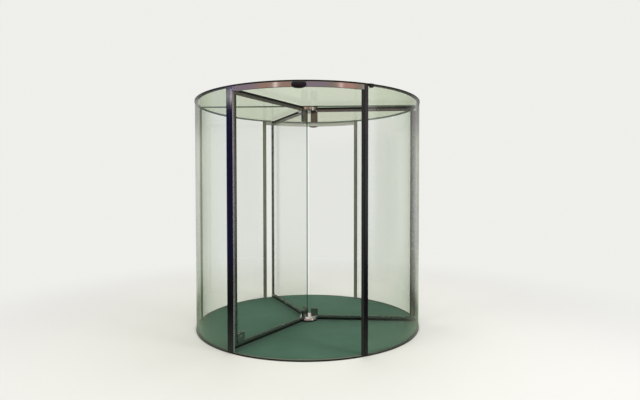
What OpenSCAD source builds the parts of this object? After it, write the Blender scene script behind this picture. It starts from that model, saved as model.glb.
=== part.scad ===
// Three-wing glass revolving door, with its drum of curved glass
// Millimetres. Z is up, the origin is on the axis at the underside of the floor ring.
// The street side faces -Y, and the plane of the facade is Y = 0.

/* [Drum] */
// Outside radius of the floor ring and of the top ring
drum_r = 1200; // [1000:10:1600]
// Height from the underside of the floor ring to the top of the top ring
door_h = 2375; // [2150:5:2700]
// Width of the top ring, measured along the radius
ring_w = 34; // [32:1:60]
// Width of the floor ring, measured along the radius
floor_ring_w = 27; // [27:1:60]
// Height of the floor ring and of the mat in it
floor_t = 14; // [13:1:30]
// Height of the top ring
top_ring_h = 14; // [14:1:60]
// Depth of the groove that holds the wall glass in each ring
groove_d = 9; // [5:1:10]
// Half of the angle that each entrance takes out of the drum
entrance_half = 30.5; // [26:0.5:34]
// Angle by which both entrances sit off the centre line, towards the left as seen from the street
entrance_shift = 2; // [0:0.5:4]
// Clearance between pieces that are set into or against each other
seat_gap = 0.3; // [0.2:0.1:0.6]

/* [Wall glass] */
// Thickness of the curved wall glass
wall_glass_t = 12; // [8:1:14]
// Metal outside the wall glass, in the rings, posts and joints
outer_lip = 4; // [3:0.5:8]
// Metal inside the wall glass, in the posts and joints
inner_lip = 3; // [2:0.5:5]

/* [Posts] */
// Width of a post, along the wall
post_w = 42; // [34:1:60]
// Wall thickness of the hollow posts, cover strip, headers and stiles
profile_wall = 2.5; // [1.5:0.5:3]
// Depth of the pocket that holds the wall glass in a post
pocket_d = 12; // [6:1:14]
// Rounding of the free corners of a post and of the cover strip
post_round = 5; // [2:0.5:7]
// Width of the cover strip on the entrance side of the front left post
cover_w = 37; // [20:1:60]
// Width of the rubber safety edge, out from its post
rubber_w = 22; // [14:1:40]
// Radius of the air chamber in the safety edge
rubber_bore_r = 5; // [3:0.5:6]
// Height of the header over each entrance
header_h = 44; // [40:1:150]

/* [Facade joints] */
// Width of the upright joint between the front and rear wall glass
joint_w = 24; // [22:1:50]
// Depth of the pocket that holds the wall glass in a joint
joint_pocket = 3.5; // [2:0.5:3.5]
// Width of the outer channel for the flat facade glass
screen_slot_w = 12.6; // [8:0.1:12.6]
// Depth of the outer channel for the flat facade glass
screen_slot_d = 10; // [6:1:14]

/* [Ceiling] */
// Thickness of the ceiling glass
ceiling_t = 10; // [6:1:10]
// Drop from the top of the ring to the ceiling glass
ceiling_drop = 1; // [0.5:0.5:1]
// Width of the ledge in the top ring that carries the ceiling glass
ledge_w = 10; // [6:1:12]
// Width of the web between the two ceiling panes
ceiling_web_w = 8; // [5:1:20]
// Width of the cap over the joint between the two ceiling panes
ceiling_cap_w = 30; // [22:1:80]

/* [Wings] */
// Angle of the first wing at rest, from +X towards +Y
rest_angle = 238; // [0:1:359]
// Running clearance of the wings to the drum
run_gap = 6; // [5:1:10]
// Thickness of the wing glass
wing_glass_t = 10; // [8:1:12]
// Thickness of the rails and stile of a wing
rail_t = 22; // [20:1:30]
// Height of the rails at the top and bottom of a wing
rail_h = 23; // [20:1:60]
// Width of the outer stile of a wing
stile_w = 34; // [24:1:80]
// Depth of the pocket that holds the wing glass in the rails and stile
wing_pocket = 11; // [6:1:12]
// Reach of the brushes out of the rails and stile
brush_out = 26; // [20:1:50]
// Depth of the brush slots in the rails and stile
brush_slot = 6; // [4:1:7]
// Thickness of the brushes
brush_t = 8; // [4:1:12]

/* [Hub] */
// Radius of the lower hub disc
hub_base_r = 100; // [80:1:140]
// Radius of the upper hub disc
hub_cap_r = 112; // [84:1:140]
// Rounding of the rim of each hub disc
hub_round = 12; // [4:1:16]
// Depth of the black seal between each hub disc and the mat or ceiling
seal_h = 8; // [7:1:12]
// Width of that seal, measured along the radius
seal_w = 12; // [6:1:14]
// Distance from the axis to the near end of the hub clamps
clamp_start = 32; // [28:1:45]
// Reach of the lower clamps past the rim of the lower hub disc
lower_clamp_over = 6; // [0:1:60]
// Distance by which the upper clamps stop short of the rim of the upper hub disc
upper_clamp_short = 6; // [0:1:20]
// Height of the lower clamps
lower_clamp_h = 75; // [50:1:250]
// Height of the upper clamps
upper_clamp_h = 115; // [60:1:250]
// Thickness of one clamp plate
clamp_t = 8; // [5:1:12]
// Rounding of the corners of the clamp plates
clamp_round = 8; // [2:1:20]
// Distance from the axis to the inner edge of the wing glass
wing_start = 20; // [14:1:30]
// Radius of the lower bearing pin
lower_pin_r = 30; // [18:1:45]
// Radius of the upper bearing pin
upper_pin_r = 20; // [12:1:45]
// Length of each bearing pin in its hub disc
pin_h = 24; // [14:1:27]
// Radial running clearance of the bearing pins
pin_gap = 0.05; // [0.02:0.01:0.1]
// Radius of the bearing flanges in the mat and under the ceiling
flange_r = 64; // [50:1:64]
// Thickness of the upper bearing flange
flange_t = 6; // [4:1:6]

/* [Fittings] */
// Length of the oval motion sensors
sensor_w = 124; // [80:1:200]
// Height of the oval motion sensors
sensor_h = 56; // [30:1:56]
// Reach of the oval motion sensors, out from the header
sensor_d = 34; // [20:1:60]
// Drop of the oval motion sensors below the header
sensor_drop = 14; // [4:1:30]
// Width of the small safety sensor
watch_w = 48; // [30:1:90]
// Height of the small safety sensor
watch_h = 36; // [24:1:80]
// Reach of the small safety sensor, out from the ring
watch_d = 18; // [12:1:40]
// Length of the lock case along the first wing
lock_w = 95; // [60:1:160]
// Height of the lock case
lock_h = 90; // [60:1:220]
// Thickness of one lock plate
lock_t = 9; // [6:1:14]
// Rounding of the corners of the lock plates
lock_round = 22; // [4:1:28]

/* [Hidden] */

curve_fn = 180;
small_fn = 48;

// Azimuths of the uprights, from +X towards +Y
front_az = 270 - entrance_shift;
rear_az = 90 + entrance_shift;
front_left_az = front_az - entrance_half;
front_right_az = front_az + entrance_half;
rear_right_az = rear_az - entrance_half;
rear_left_az = rear_az + entrance_half;
left_az = 180;
right_az = 0;

// Radii of the drum
wall_r_out = drum_r - outer_lip;
wall_r_in = wall_r_out - wall_glass_t;
frame_d = outer_lip + wall_glass_t + inner_lip;
frame_r_in = drum_r - frame_d;
ring_r_in = drum_r - ring_w;
mat_edge_r = drum_r - floor_ring_w;
rebate_r = ring_r_in + ledge_w;
sweep_r = frame_r_in - run_gap;

// Levels of the drum
top_ring_z = door_h - top_ring_h;
header_z = top_ring_z - header_h;
header_z1 = top_ring_z - seat_gap;
ceiling_z = door_h - ceiling_drop - ceiling_t;
wall_glass_z0 = floor_t - groove_d;
wall_glass_z1 = top_ring_z + groove_d - seat_gap;

// Levels of the wings
sweep_z0 = floor_t + run_gap;
sweep_z1 = ceiling_z - run_gap;
bottom_rail_z = sweep_z0 + brush_out;
bottom_rail_top = bottom_rail_z + rail_h;
top_rail_top = sweep_z1 - brush_out;
top_rail_z = top_rail_top - rail_h;

// Reach of the wings, measured along the radius
stile_r1 = sweep_r - brush_out;
stile_r0 = stile_r1 - stile_w;
top_brush_r1 = min(sweep_r, ring_r_in - run_gap);

// Levels of the hub
hub_base_z0 = sweep_z0 + seal_h;
hub_cap_z1 = sweep_z1 - seal_h;
wing_angles = [rest_angle, rest_angle + 120, rest_angle + 240];

// Angle at the axis of a half width, where a straight upright meets the curved wall
function half_angle(half_width) = asin(half_width / frame_r_in);

// Curved bar round the axis, from azimuth a0 to a1
module arc_bar(r0, r1, z0, z1, a0, a1) {
    rotate([0, 0, a0])
        rotate_extrude(angle = a1 - a0, $fn = curve_fn)
            translate([r0, z0])
                square([r1 - r0, z1 - z0]);
}

// Full ring or disc round the axis
module round_plate(r, z0, z1) {
    translate([0, 0, z0])
        cylinder(r = r, h = z1 - z0, $fn = curve_fn);
}

// Upright from a flat outline: x runs out from the drum's inner face, y along the wall
module upright(az, z0, z1) {
    rotate([0, 0, az])
        translate([frame_r_in, 0, z0])
            linear_extrude(height = z1 - z0)
                children();
}

// Rectangle whose two outer corners are rounded
module nosed_bar(d, w, r) {
    translate([0, -w / 2])
        square([d - r, w]);
    translate([0, r - w / 2])
        square([d, w - 2 * r]);
    for (side = [-1, 1])
        translate([d - r, side * (w / 2 - r)])
            circle(r = r, $fn = small_fn);
}

// Outline of a post: a glass pocket on one side and a hollow chamber on the other
module post_outline() {
    chamber_w = post_w - pocket_d - 2 * profile_wall;
    chamber_y = pocket_d / 2;
    difference() {
        nosed_bar(frame_d, post_w, post_round);
        translate([inner_lip - seat_gap - 0.2, -post_w / 2 - 1])
            square([wall_glass_t + 2 * seat_gap + 0.2, pocket_d + 1]);
        translate([profile_wall, chamber_y - chamber_w / 2])
            square([frame_d - 2 * profile_wall, chamber_w]);
    }
}

// Post whose glass side faces the facade; flip puts the glass on the other side
module post(az, flip) {
    color("dimgray")
        upright(az, floor_t, top_ring_z)
            mirror([0, flip ? 1 : 0])
                post_outline();
}

module front_left_post() {
    post(front_left_az, false);
}

module front_right_post() {
    post(front_right_az, true);
}

module rear_right_post() {
    post(rear_right_az, false);
}

module rear_left_post() {
    post(rear_left_az, true);
}

// Hollow strip on the entrance side of the front left post, as deep as the post
module cover_outline() {
    base_y = post_w / 2;
    difference() {
        union() {
            translate([0, base_y])
                square([frame_d, cover_w - post_round]);
            translate([post_round, base_y])
                square([frame_d - 2 * post_round, cover_w]);
            for (x = [post_round, frame_d - post_round])
                translate([x, base_y + cover_w - post_round])
                    circle(r = post_round, $fn = small_fn);
        }
        translate([profile_wall, base_y + profile_wall])
            square([frame_d - 2 * profile_wall, cover_w - 2 * profile_wall]);
    }
}

module post_cover() {
    color("gray")
        upright(front_left_az, floor_t, top_ring_z)
            cover_outline();
}

// Rubber nose with an air chamber, on the entrance side of a post
module rubber_outline() {
    nose_r = frame_d / 2;
    base_y = -post_w / 2;
    tip_y = base_y - rubber_w;
    difference() {
        union() {
            translate([0, tip_y + nose_r])
                square([frame_d, rubber_w - nose_r]);
            translate([nose_r, tip_y + nose_r])
                circle(r = nose_r, $fn = small_fn);
        }
        translate([nose_r, tip_y + nose_r])
            circle(r = rubber_bore_r, $fn = small_fn);
    }
}

module safety_edge() {
    color("black")
        upright(front_right_az, floor_t, header_z)
            rubber_outline();
}

// Pane of wall glass, from the facade joint to a post
module wall_pane(a0, a1) {
    color("lightseagreen", 0.35)
        arc_bar(wall_r_in, wall_r_out, wall_glass_z0, wall_glass_z1, a0, a1);
}

joint_end = half_angle(joint_w / 2 - joint_pocket + seat_gap);
post_end = half_angle(post_w / 2 - pocket_d + seat_gap);

module left_front_glass() {
    wall_pane(left_az + joint_end, front_left_az - post_end);
}

module left_rear_glass() {
    wall_pane(rear_left_az + post_end, left_az - joint_end);
}

module right_front_glass() {
    wall_pane(front_right_az + post_end, 360 + right_az - joint_end);
}

module right_rear_glass() {
    wall_pane(right_az + joint_end, rear_right_az - post_end);
}

// Upright between two wall panes, with a channel outside for the flat facade glass
module facade_joint(az) {
    pocket_x = inner_lip - seat_gap - 0.2;
    pocket_w = wall_glass_t + 2 * seat_gap + 0.2;
    color("darkslategray")
        upright(az, floor_t, top_ring_z)
            difference() {
                translate([0, -joint_w / 2])
                    square([frame_d, joint_w]);
                for (side = [-1, 1])
                    translate([pocket_x, side * joint_w / 2 - joint_pocket])
                        square([pocket_w, 2 * joint_pocket]);
                translate([frame_d - screen_slot_d, -screen_slot_w / 2])
                    square([screen_slot_d + 1, screen_slot_w]);
            }
}

module left_facade_joint() {
    facade_joint(left_az);
}

module right_facade_joint() {
    facade_joint(right_az);
}

// Hollow curved header between two uprights
module header(a0, a1) {
    color("silver")
        difference() {
            arc_bar(frame_r_in, drum_r, header_z, header_z1, a0, a1);
            arc_bar(
                frame_r_in + profile_wall, drum_r - profile_wall,
                header_z + profile_wall, header_z1 - profile_wall,
                a0 - 1, a1 + 1
            );
        }
}

module front_header() {
    header(
        front_left_az + half_angle(post_w / 2 + cover_w + seat_gap),
        front_right_az - half_angle(post_w / 2 + seat_gap)
    );
}

module rear_header() {
    inset_az = half_angle(post_w / 2 + seat_gap);
    header(rear_right_az + inset_az, rear_left_az - inset_az);
}

// Cuts the glass grooves of a ring, from post to post on the left and on the right
module wall_grooves(z0, z1) {
    groove_end = half_angle(post_w / 2 - pocket_d);
    for (wall = [[rear_left_az, front_left_az], [front_right_az, rear_right_az + 360]])
        arc_bar(
            wall_r_in - seat_gap, wall_r_out + seat_gap, z0, z1,
            wall[0] + groove_end, wall[1] - groove_end
        );
}

module floor_ring() {
    color("darkslategray")
        difference() {
            round_plate(drum_r, 0, floor_t);
            round_plate(mat_edge_r, -1, floor_t + 1);
            wall_grooves(wall_glass_z0, floor_t + 1);
        }
}

module top_ring() {
    color("black")
        difference() {
            round_plate(drum_r, top_ring_z, door_h);
            round_plate(ring_r_in, top_ring_z - 1, door_h + 1);
            round_plate(rebate_r, ceiling_z, door_h + 1);
            wall_grooves(top_ring_z - 1, top_ring_z + groove_d);
        }
}

module floor_mat() {
    color("darkgreen")
        difference() {
            round_plate(mat_edge_r - seat_gap, 0, floor_t);
            round_plate(flange_r + seat_gap, -1, floor_t + 1);
        }
}

// Half disc of ceiling glass, on the side of the facade plane given by the sign
module ceiling_pane(side) {
    cut_y = ceiling_web_w / 2 + seat_gap;
    pane_r = rebate_r - seat_gap;
    color("lightseagreen", 0.35)
        intersection() {
            round_plate(pane_r, ceiling_z, ceiling_z + ceiling_t);
            translate([-drum_r, side > 0 ? cut_y : -cut_y - drum_r, ceiling_z - 1])
                cube([2 * drum_r, drum_r, ceiling_t + 2]);
        }
}

module front_ceiling_glass() {
    ceiling_pane(-1);
}

module rear_ceiling_glass() {
    ceiling_pane(1);
}

// Tee bar on the facade plane: its web parts the ceiling panes, its cap lies on them
module ceiling_joint() {
    color("darkslategray")
        intersection() {
            round_plate(rebate_r - seat_gap, ceiling_z, door_h);
            union() {
                translate([-drum_r, -ceiling_web_w / 2, ceiling_z])
                    cube([2 * drum_r, ceiling_web_w, ceiling_t + ceiling_drop]);
                translate([-drum_r, -ceiling_cap_w / 2, door_h - ceiling_drop])
                    cube([2 * drum_r, ceiling_cap_w, ceiling_drop]);
            }
        }
}

// Fixed flange in the middle of the mat, with the pin that carries the wings
module floor_bearing() {
    color("silver") {
        round_plate(flange_r, 0, floor_t);
        round_plate(lower_pin_r, floor_t - 1, hub_base_z0 + pin_h);
    }
}

// Fixed flange under the ceiling joint, with the pin that guides the wings
module top_bearing() {
    color("silver") {
        round_plate(flange_r, ceiling_z - flange_t, ceiling_z);
        round_plate(upper_pin_r, hub_cap_z1 - pin_h, ceiling_z - 1);
    }
}

// Pill-shaped cover with a rounded front, standing on a header along +X
module pill(w, h, d, edge) {
    half_h = h / 2;
    straight = w / 2 - half_h;
    for (side = [-1, 1])
        translate([0, side * straight, 0])
            rotate([0, 90, 0])
                rotate_extrude($fn = small_fn)
                    pill_section(half_h, d, edge);
    rotate([90, 0, 0])
        translate([0, 0, -straight])
            linear_extrude(height = 2 * straight) {
                pill_flat(half_h, d, edge);
                mirror([0, 1])
                    pill_flat(half_h, d, edge);
            }
}

// Quarter outline of the pill, radius along x and reach along y
module pill_section(r, d, edge) {
    square([r, d - edge]);
    square([r - edge, d]);
    translate([r - edge, d - edge])
        intersection() {
            circle(r = edge, $fn = small_fn);
            square([edge, edge]);
        }
}

// The same quarter outline, reach along x
module pill_flat(r, d, edge) {
    square([d - edge, r]);
    square([d, r - edge]);
    translate([d - edge, r - edge])
        circle(r = edge, $fn = small_fn);
}

// Oval motion sensor on a curved header; its back follows the header
module motion_sensor(az) {
    sag = drum_r - sqrt(drum_r * drum_r - sensor_w * sensor_w / 4);
    edge = sensor_h * 0.3;
    sensor_z = header_z - sensor_drop;
    color("black")
        rotate([0, 0, az])
            difference() {
                translate([drum_r - sag, 0, sensor_z + sensor_h / 2])
                    pill(sensor_w, sensor_h, sensor_d + sag, edge);
                round_plate(drum_r, sensor_z - 1, sensor_z + sensor_h + 1);
            }
}

module front_sensor() {
    motion_sensor(270);
}

module rear_sensor() {
    motion_sensor(90);
}

// Small sensor case on the outside of the top ring, beside the safety edge
module safety_sensor() {
    half_span = half_angle(watch_w / 2);
    case_az = front_right_az + half_angle((post_w + watch_w) / 2);
    case_z = door_h - watch_h - ceiling_drop;
    color("black")
        arc_bar(
            drum_r, drum_r + watch_d, case_z, case_z + watch_h,
            case_az - half_span, case_az + half_span
        );
}

// Turned disc with one rounded rim and a blind bore for its pin, both from the flat side
module hub_disc(r, h, pin_r) {
    rotate_extrude($fn = curve_fn)
        difference() {
            union() {
                square([r, h - hub_round]);
                square([r - hub_round, h]);
                translate([r - hub_round, h - hub_round])
                    intersection() {
                        circle(r = hub_round, $fn = small_fn);
                        square([hub_round, hub_round]);
                    }
            }
            translate([0, -1])
                square([pin_r + pin_gap, pin_h + seat_gap + 1]);
        }
}

module hub_base() {
    color("silver")
        translate([0, 0, hub_base_z0])
            hub_disc(hub_base_r, bottom_rail_top - hub_base_z0, lower_pin_r);
}

module hub_cap() {
    color("silver")
        translate([0, 0, hub_cap_z1])
            mirror([0, 0, 1])
                hub_disc(hub_cap_r, hub_cap_z1 - top_rail_z, upper_pin_r);
}

// Brush rings that close the gap under the lower disc and over the upper one
module hub_seals() {
    color("black") {
        arc_bar(hub_base_r - seal_w - 1, hub_base_r - 1, sweep_z0, hub_base_z0, 0, 360);
        arc_bar(hub_cap_r - seal_w - 1, hub_cap_r - 1, hub_cap_z1, sweep_z1, 0, 360);
    }
}

// Places its children on one wing: x runs out from the axis, y through the glass
module on_wing(index) {
    rotate([0, 0, wing_angles[index]])
        children();
}

// Box on a wing, centred on the plane of its glass
module wing_box(x0, x1, t, z0, z1) {
    translate([x0, -t / 2, z0])
        cube([x1 - x0, t, z1 - z0]);
}

// Two plates with rounded corners, one on each face of a wing's glass
module glass_plates(x0, x1, z0, z1, t, r) {
    for (side = [-1, 1])
        translate([0, side * (wing_glass_t + t) / 2, 0])
            rotate([90, 0, 0])
                linear_extrude(height = t, center = true) {
                    translate([x0 + r, z0])
                        square([x1 - x0 - 2 * r, z1 - z0]);
                    translate([x0, z0 + r])
                        square([x1 - x0, z1 - z0 - 2 * r]);
                    for (x = [x0 + r, x1 - r], z = [z0 + r, z1 - r])
                        translate([x, z])
                            circle(r = r, $fn = small_fn);
                }
}

module hub_clamps(z0, z1, reach) {
    color("silver")
        for (index = [0:2])
            on_wing(index)
                glass_plates(clamp_start, reach, z0, z1, clamp_t, clamp_round);
}

module lower_clamps() {
    hub_clamps(bottom_rail_top, bottom_rail_top + lower_clamp_h, hub_base_r + lower_clamp_over);
}

module upper_clamps() {
    hub_clamps(top_rail_z - upper_clamp_h, top_rail_z, hub_cap_r - upper_clamp_short);
}

module wing_glass(index) {
    color("lightseagreen", 0.35)
        on_wing(index)
            difference() {
                wing_box(
                    wing_start, stile_r0 + wing_pocket - seat_gap, wing_glass_t,
                    bottom_rail_top - wing_pocket, top_rail_z + wing_pocket - seat_gap
                );
                translate([0, 0, bottom_rail_top - wing_pocket - 1])
                    cylinder(r = hub_base_r + seat_gap, h = wing_pocket + 1, $fn = curve_fn);
                translate([0, 0, top_rail_z])
                    cylinder(r = hub_cap_r + seat_gap, h = wing_pocket + 1, $fn = curve_fn);
            }
}

// Rail from the hub to the stile's outer face: one slot for the glass, one for the brush
module top_rail(index) {
    color("gray")
        on_wing(index)
            difference() {
                wing_box(hub_cap_r + seat_gap, stile_r1, rail_t, top_rail_z, top_rail_top);
                wing_box(
                    hub_cap_r - 1, stile_r0 + wing_pocket, wing_glass_t,
                    top_rail_z - 1, top_rail_z + wing_pocket
                );
                wing_box(
                    hub_cap_r - 1, stile_r1 + 1, brush_t,
                    top_rail_top - brush_slot, top_rail_top + 1
                );
            }
}

module bottom_rail(index) {
    color("gray")
        on_wing(index)
            difference() {
                wing_box(hub_base_r + seat_gap, stile_r1, rail_t, bottom_rail_z, bottom_rail_top);
                wing_box(
                    hub_base_r - 1, stile_r0 + wing_pocket, wing_glass_t,
                    bottom_rail_top - wing_pocket, bottom_rail_top + 1
                );
                wing_box(
                    hub_base_r - 1, stile_r1 + 1, brush_t,
                    bottom_rail_z - 1, bottom_rail_z + brush_slot
                );
            }
}

// Hollow stile: a slot for the glass, a slot for the brush and a chamber between them
module stile(index) {
    color("gray")
        on_wing(index)
            difference() {
                wing_box(stile_r0, stile_r1, rail_t, bottom_rail_top, top_rail_z);
                wing_box(
                    stile_r0 - 1, stile_r0 + wing_pocket, wing_glass_t,
                    bottom_rail_top - 1, top_rail_z + 1
                );
                wing_box(
                    stile_r1 - brush_slot, stile_r1 + 1, brush_t,
                    bottom_rail_top - 1, top_rail_z + 1
                );
                wing_box(
                    stile_r0 + wing_pocket + profile_wall, stile_r1 - brush_slot - profile_wall,
                    rail_t - 2 * profile_wall, bottom_rail_top - 1, top_rail_z + 1
                );
            }
}

// Brushes of one wing: over the top rail, under the bottom rail and along the stile
module brushes(index) {
    color("black")
        on_wing(index) {
            wing_box(
                hub_cap_r + 2 * seat_gap, top_brush_r1, brush_t,
                top_rail_top - brush_slot, sweep_z1
            );
            wing_box(
                hub_base_r + 2 * seat_gap, sweep_r, brush_t,
                sweep_z0, bottom_rail_z + brush_slot
            );
            wing_box(
                stile_r1 - brush_slot, sweep_r, brush_t,
                bottom_rail_top, top_rail_z
            );
            wing_box(
                stile_r1 + seat_gap, sweep_r, brush_t,
                bottom_rail_top - rail_h + brush_slot + 1, top_rail_top - brush_slot - 1
            );
        }
}

module wing_a_glass() { wing_glass(0); }
module wing_b_glass() { wing_glass(1); }
module wing_c_glass() { wing_glass(2); }
module wing_a_top_rail() { top_rail(0); }
module wing_b_top_rail() { top_rail(1); }
module wing_c_top_rail() { top_rail(2); }
module wing_a_bottom_rail() { bottom_rail(0); }
module wing_b_bottom_rail() { bottom_rail(1); }
module wing_c_bottom_rail() { bottom_rail(2); }
module wing_a_stile() { stile(0); }
module wing_b_stile() { stile(1); }
module wing_c_stile() { stile(2); }
module wing_a_brushes() { brushes(0); }
module wing_b_brushes() { brushes(1); }
module wing_c_brushes() { brushes(2); }

// Lock case on both faces of the first wing, in the corner of stile and bottom rail
module leaf_lock() {
    cylinder_r = 12;
    cylinder_out = 5;
    lock_x = stile_r0 - lock_w / 2;
    lock_z = bottom_rail_top + lock_h / 2;
    color("silver")
        on_wing(0) {
            glass_plates(
                stile_r0 - lock_w, stile_r0, bottom_rail_top, bottom_rail_top + lock_h,
                lock_t, lock_round
            );
            for (side = [-1, 1])
                translate([lock_x, side * (wing_glass_t / 2 + lock_t - 1), lock_z])
                    rotate([-90 * side, 0, 0])
                        cylinder(r = cylinder_r, h = cylinder_out + 1, $fn = small_fn);
        }
}

floor_mat();
floor_ring();
floor_bearing();
left_front_glass();
left_rear_glass();
right_front_glass();
right_rear_glass();
front_left_post();
front_right_post();
rear_left_post();
rear_right_post();
post_cover();
safety_edge();
left_facade_joint();
right_facade_joint();
front_header();
rear_header();
top_ring();
front_ceiling_glass();
rear_ceiling_glass();
ceiling_joint();
top_bearing();
front_sensor();
rear_sensor();
safety_sensor();
hub_base();
hub_cap();
hub_seals();
lower_clamps();
upper_clamps();
wing_a_glass();
wing_a_top_rail();
wing_a_bottom_rail();
wing_a_stile();
wing_a_brushes();
wing_b_glass();
wing_b_top_rail();
wing_b_bottom_rail();
wing_b_stile();
wing_b_brushes();
wing_c_glass();
wing_c_top_rail();
wing_c_bottom_rail();
wing_c_stile();
wing_c_brushes();
leaf_lock();
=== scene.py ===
# %% [markdown]
# A revolving door, dressed in Blender.
# The object is a three-wing revolving door: a drum of curved glass between a floor ring and a slim top
# ring, and inside it a hub that carries three glass wings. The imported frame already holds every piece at
# its real size, and this lesson gives each of them its looks. Pieces that bend round the axis are worked
# out again with numpy, because a smooth surface is what makes glass and polished metal read as real.
# Straight extrusions are copied from the frame and only get their edges eased.

# %% Load the frame
import math
from types import SimpleNamespace

import bmesh
import bpy
import numpy as np
from mathutils import Matrix, Vector


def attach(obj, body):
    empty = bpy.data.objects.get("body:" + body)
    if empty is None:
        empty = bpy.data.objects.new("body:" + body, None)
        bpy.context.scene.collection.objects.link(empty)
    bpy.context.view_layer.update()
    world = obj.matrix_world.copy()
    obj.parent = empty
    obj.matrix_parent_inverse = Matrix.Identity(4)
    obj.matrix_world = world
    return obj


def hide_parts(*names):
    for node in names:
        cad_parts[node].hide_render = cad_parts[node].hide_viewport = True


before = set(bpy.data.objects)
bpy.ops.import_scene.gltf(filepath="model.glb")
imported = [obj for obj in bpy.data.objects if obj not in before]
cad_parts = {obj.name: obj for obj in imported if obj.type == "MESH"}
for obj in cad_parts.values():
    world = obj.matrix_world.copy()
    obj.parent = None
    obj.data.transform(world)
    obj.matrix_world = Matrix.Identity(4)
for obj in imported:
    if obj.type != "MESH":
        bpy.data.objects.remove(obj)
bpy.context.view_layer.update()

# %% [markdown]
# The camera stands a little right of the axis, about 5 m in front of it and 1.46 m above the floor. Its
# place and lens come from matching the ellipses of the two rings and the four posts. The lens is rather
# wide, so a camera that was placed by guess would get the drum's curve wrong.

# %% Camera
SENSOR_WIDTH = 36.0
LENS = 25.45
CAMERA_PLACE = (0.3134, -4.9852, 1.4587)
CAMERA_YAW = 0.0363
CAMERA_PITCH = -0.0232
CAMERA_ROLL = -0.001


def new_object(name, data):
    """Object for a mesh, a lamp or a camera, linked to the scene."""
    made = bpy.data.objects.new(name, data)
    bpy.context.scene.collection.objects.link(made)
    return made


camera_data = bpy.data.cameras.new("photo_camera")
camera_data.sensor_width = SENSOR_WIDTH
camera_data.lens = LENS
camera_data.clip_start = 0.05
camera_data.clip_end = 200.0
camera = new_object("photo_camera", camera_data)
camera.matrix_world = (
    Matrix.Translation(CAMERA_PLACE)
    @ Matrix.Rotation(CAMERA_YAW, 4, "Z")
    @ Matrix.Rotation(math.pi / 2 + CAMERA_PITCH, 4, "X")
    @ Matrix.Rotation(CAMERA_ROLL, 4, "Z")
)
bpy.context.scene.camera = camera
print("camera at", CAMERA_PLACE, "lens", LENS)

# %% [markdown]
# Sizes are read off the frame and never typed in again. Round pieces are measured in the way a turner
# would: how far from the axis, from which azimuth to which, and between which levels. Pieces on a wing are
# measured after turning the wing back onto the X axis.

# %% Measuring tools
FULL_TURN = 2 * math.pi
UP = np.array([0.0, 0.0, 1.0])


def points_of(node):
    """All vertices of a frame node, as an array of points."""
    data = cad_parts[node].data
    flat = np.zeros(len(data.vertices) * 3, np.float32)
    data.vertices.foreach_get("co", flat)
    return flat.reshape(-1, 3).astype(float)


def round_limits(node):
    """Distances from the axis r0 to r1, azimuths a0 to a1 and levels z0 to z1 that a node fills, with the
    middle azimuth, the middle level and the height."""
    points = points_of(node)
    distance = np.hypot(points[:, 0], points[:, 1])
    centre = math.atan2(points[:, 1].mean(), points[:, 0].mean())
    azimuth = np.arctan2(points[:, 1], points[:, 0]) - centre
    azimuth = (azimuth + math.pi) % FULL_TURN - math.pi + centre
    a0, a1 = azimuth.min(), azimuth.max()
    z0, z1 = points[:, 2].min(), points[:, 2].max()
    return SimpleNamespace(
        r0=distance.min(), r1=distance.max(), a0=a0, a1=a1, z0=z0, z1=z1,
        middle=(a0 + a1) / 2, level=(z0 + z1) / 2, height=z1 - z0,
    )


def wing_axes(azimuth):
    """Unit vectors of a wing: outwards along its glass, and through its glass."""
    out = np.array([math.cos(azimuth), math.sin(azimuth), 0])
    return out, np.cross(UP, out)


def wing_limits(node, azimuth):
    """Corners of a node once its wing is turned back: x runs out along the glass, y goes through it."""
    points = points_of(node)
    points[:, :2] = points[:, :2] @ np.stack(wing_axes(azimuth), 1)[:2]
    return points.min(0), points.max(0)


ring = round_limits("floor_ring")
crown = round_limits("top_ring")
print("drum radius", round(ring.r1, 4), "height", round(crown.z1, 4))

# %% [markdown]
# The four wall panes and the three wings are needed again and again. Each pane sits in its grooves with
# three tenths of a millimetre to spare on either side.

# %% Panes and wings
WALL_PANES = ["left_front_glass", "left_rear_glass", "right_front_glass", "right_rear_glass"]
WINGS = "abc"
GLASS_SEAT = 0.0003
panes = {node: round_limits(node) for node in WALL_PANES}
pane = panes["left_front_glass"]
groove_in = pane.r0 - GLASS_SEAT
groove_out = pane.r1 + GLASS_SEAT
wing_azimuth = {w: round_limits(f"wing_{w}_stile").middle for w in WINGS}
print("wings at", {w: round(math.degrees(a), 1) for w, a in wing_azimuth.items()})

# %% [markdown]
# Every new shape is one of two things: a grid of points, or a flat profile carried along a path. Both
# end as rows and columns of points, so one function turns such a block into four-sided faces. It also
# lays a UV map in metres, with u along the path and v round the profile, so that brushed grain can
# follow a bar wherever it goes.

# %% Grids of points
def around(distance, azimuth, level):
    """Points (distance cos azimuth, distance sin azimuth, level), for arrays that broadcast together."""
    return np.stack(np.broadcast_arrays(distance * np.cos(azimuth), distance * np.sin(azimuth), level), -1)


def steps_along(line):
    """Length gone at each point of a line, ending with the way back to its start."""
    return np.concatenate([[0], np.linalg.norm(np.roll(line, -1, 0) - line, axis=1).cumsum()])


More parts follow.
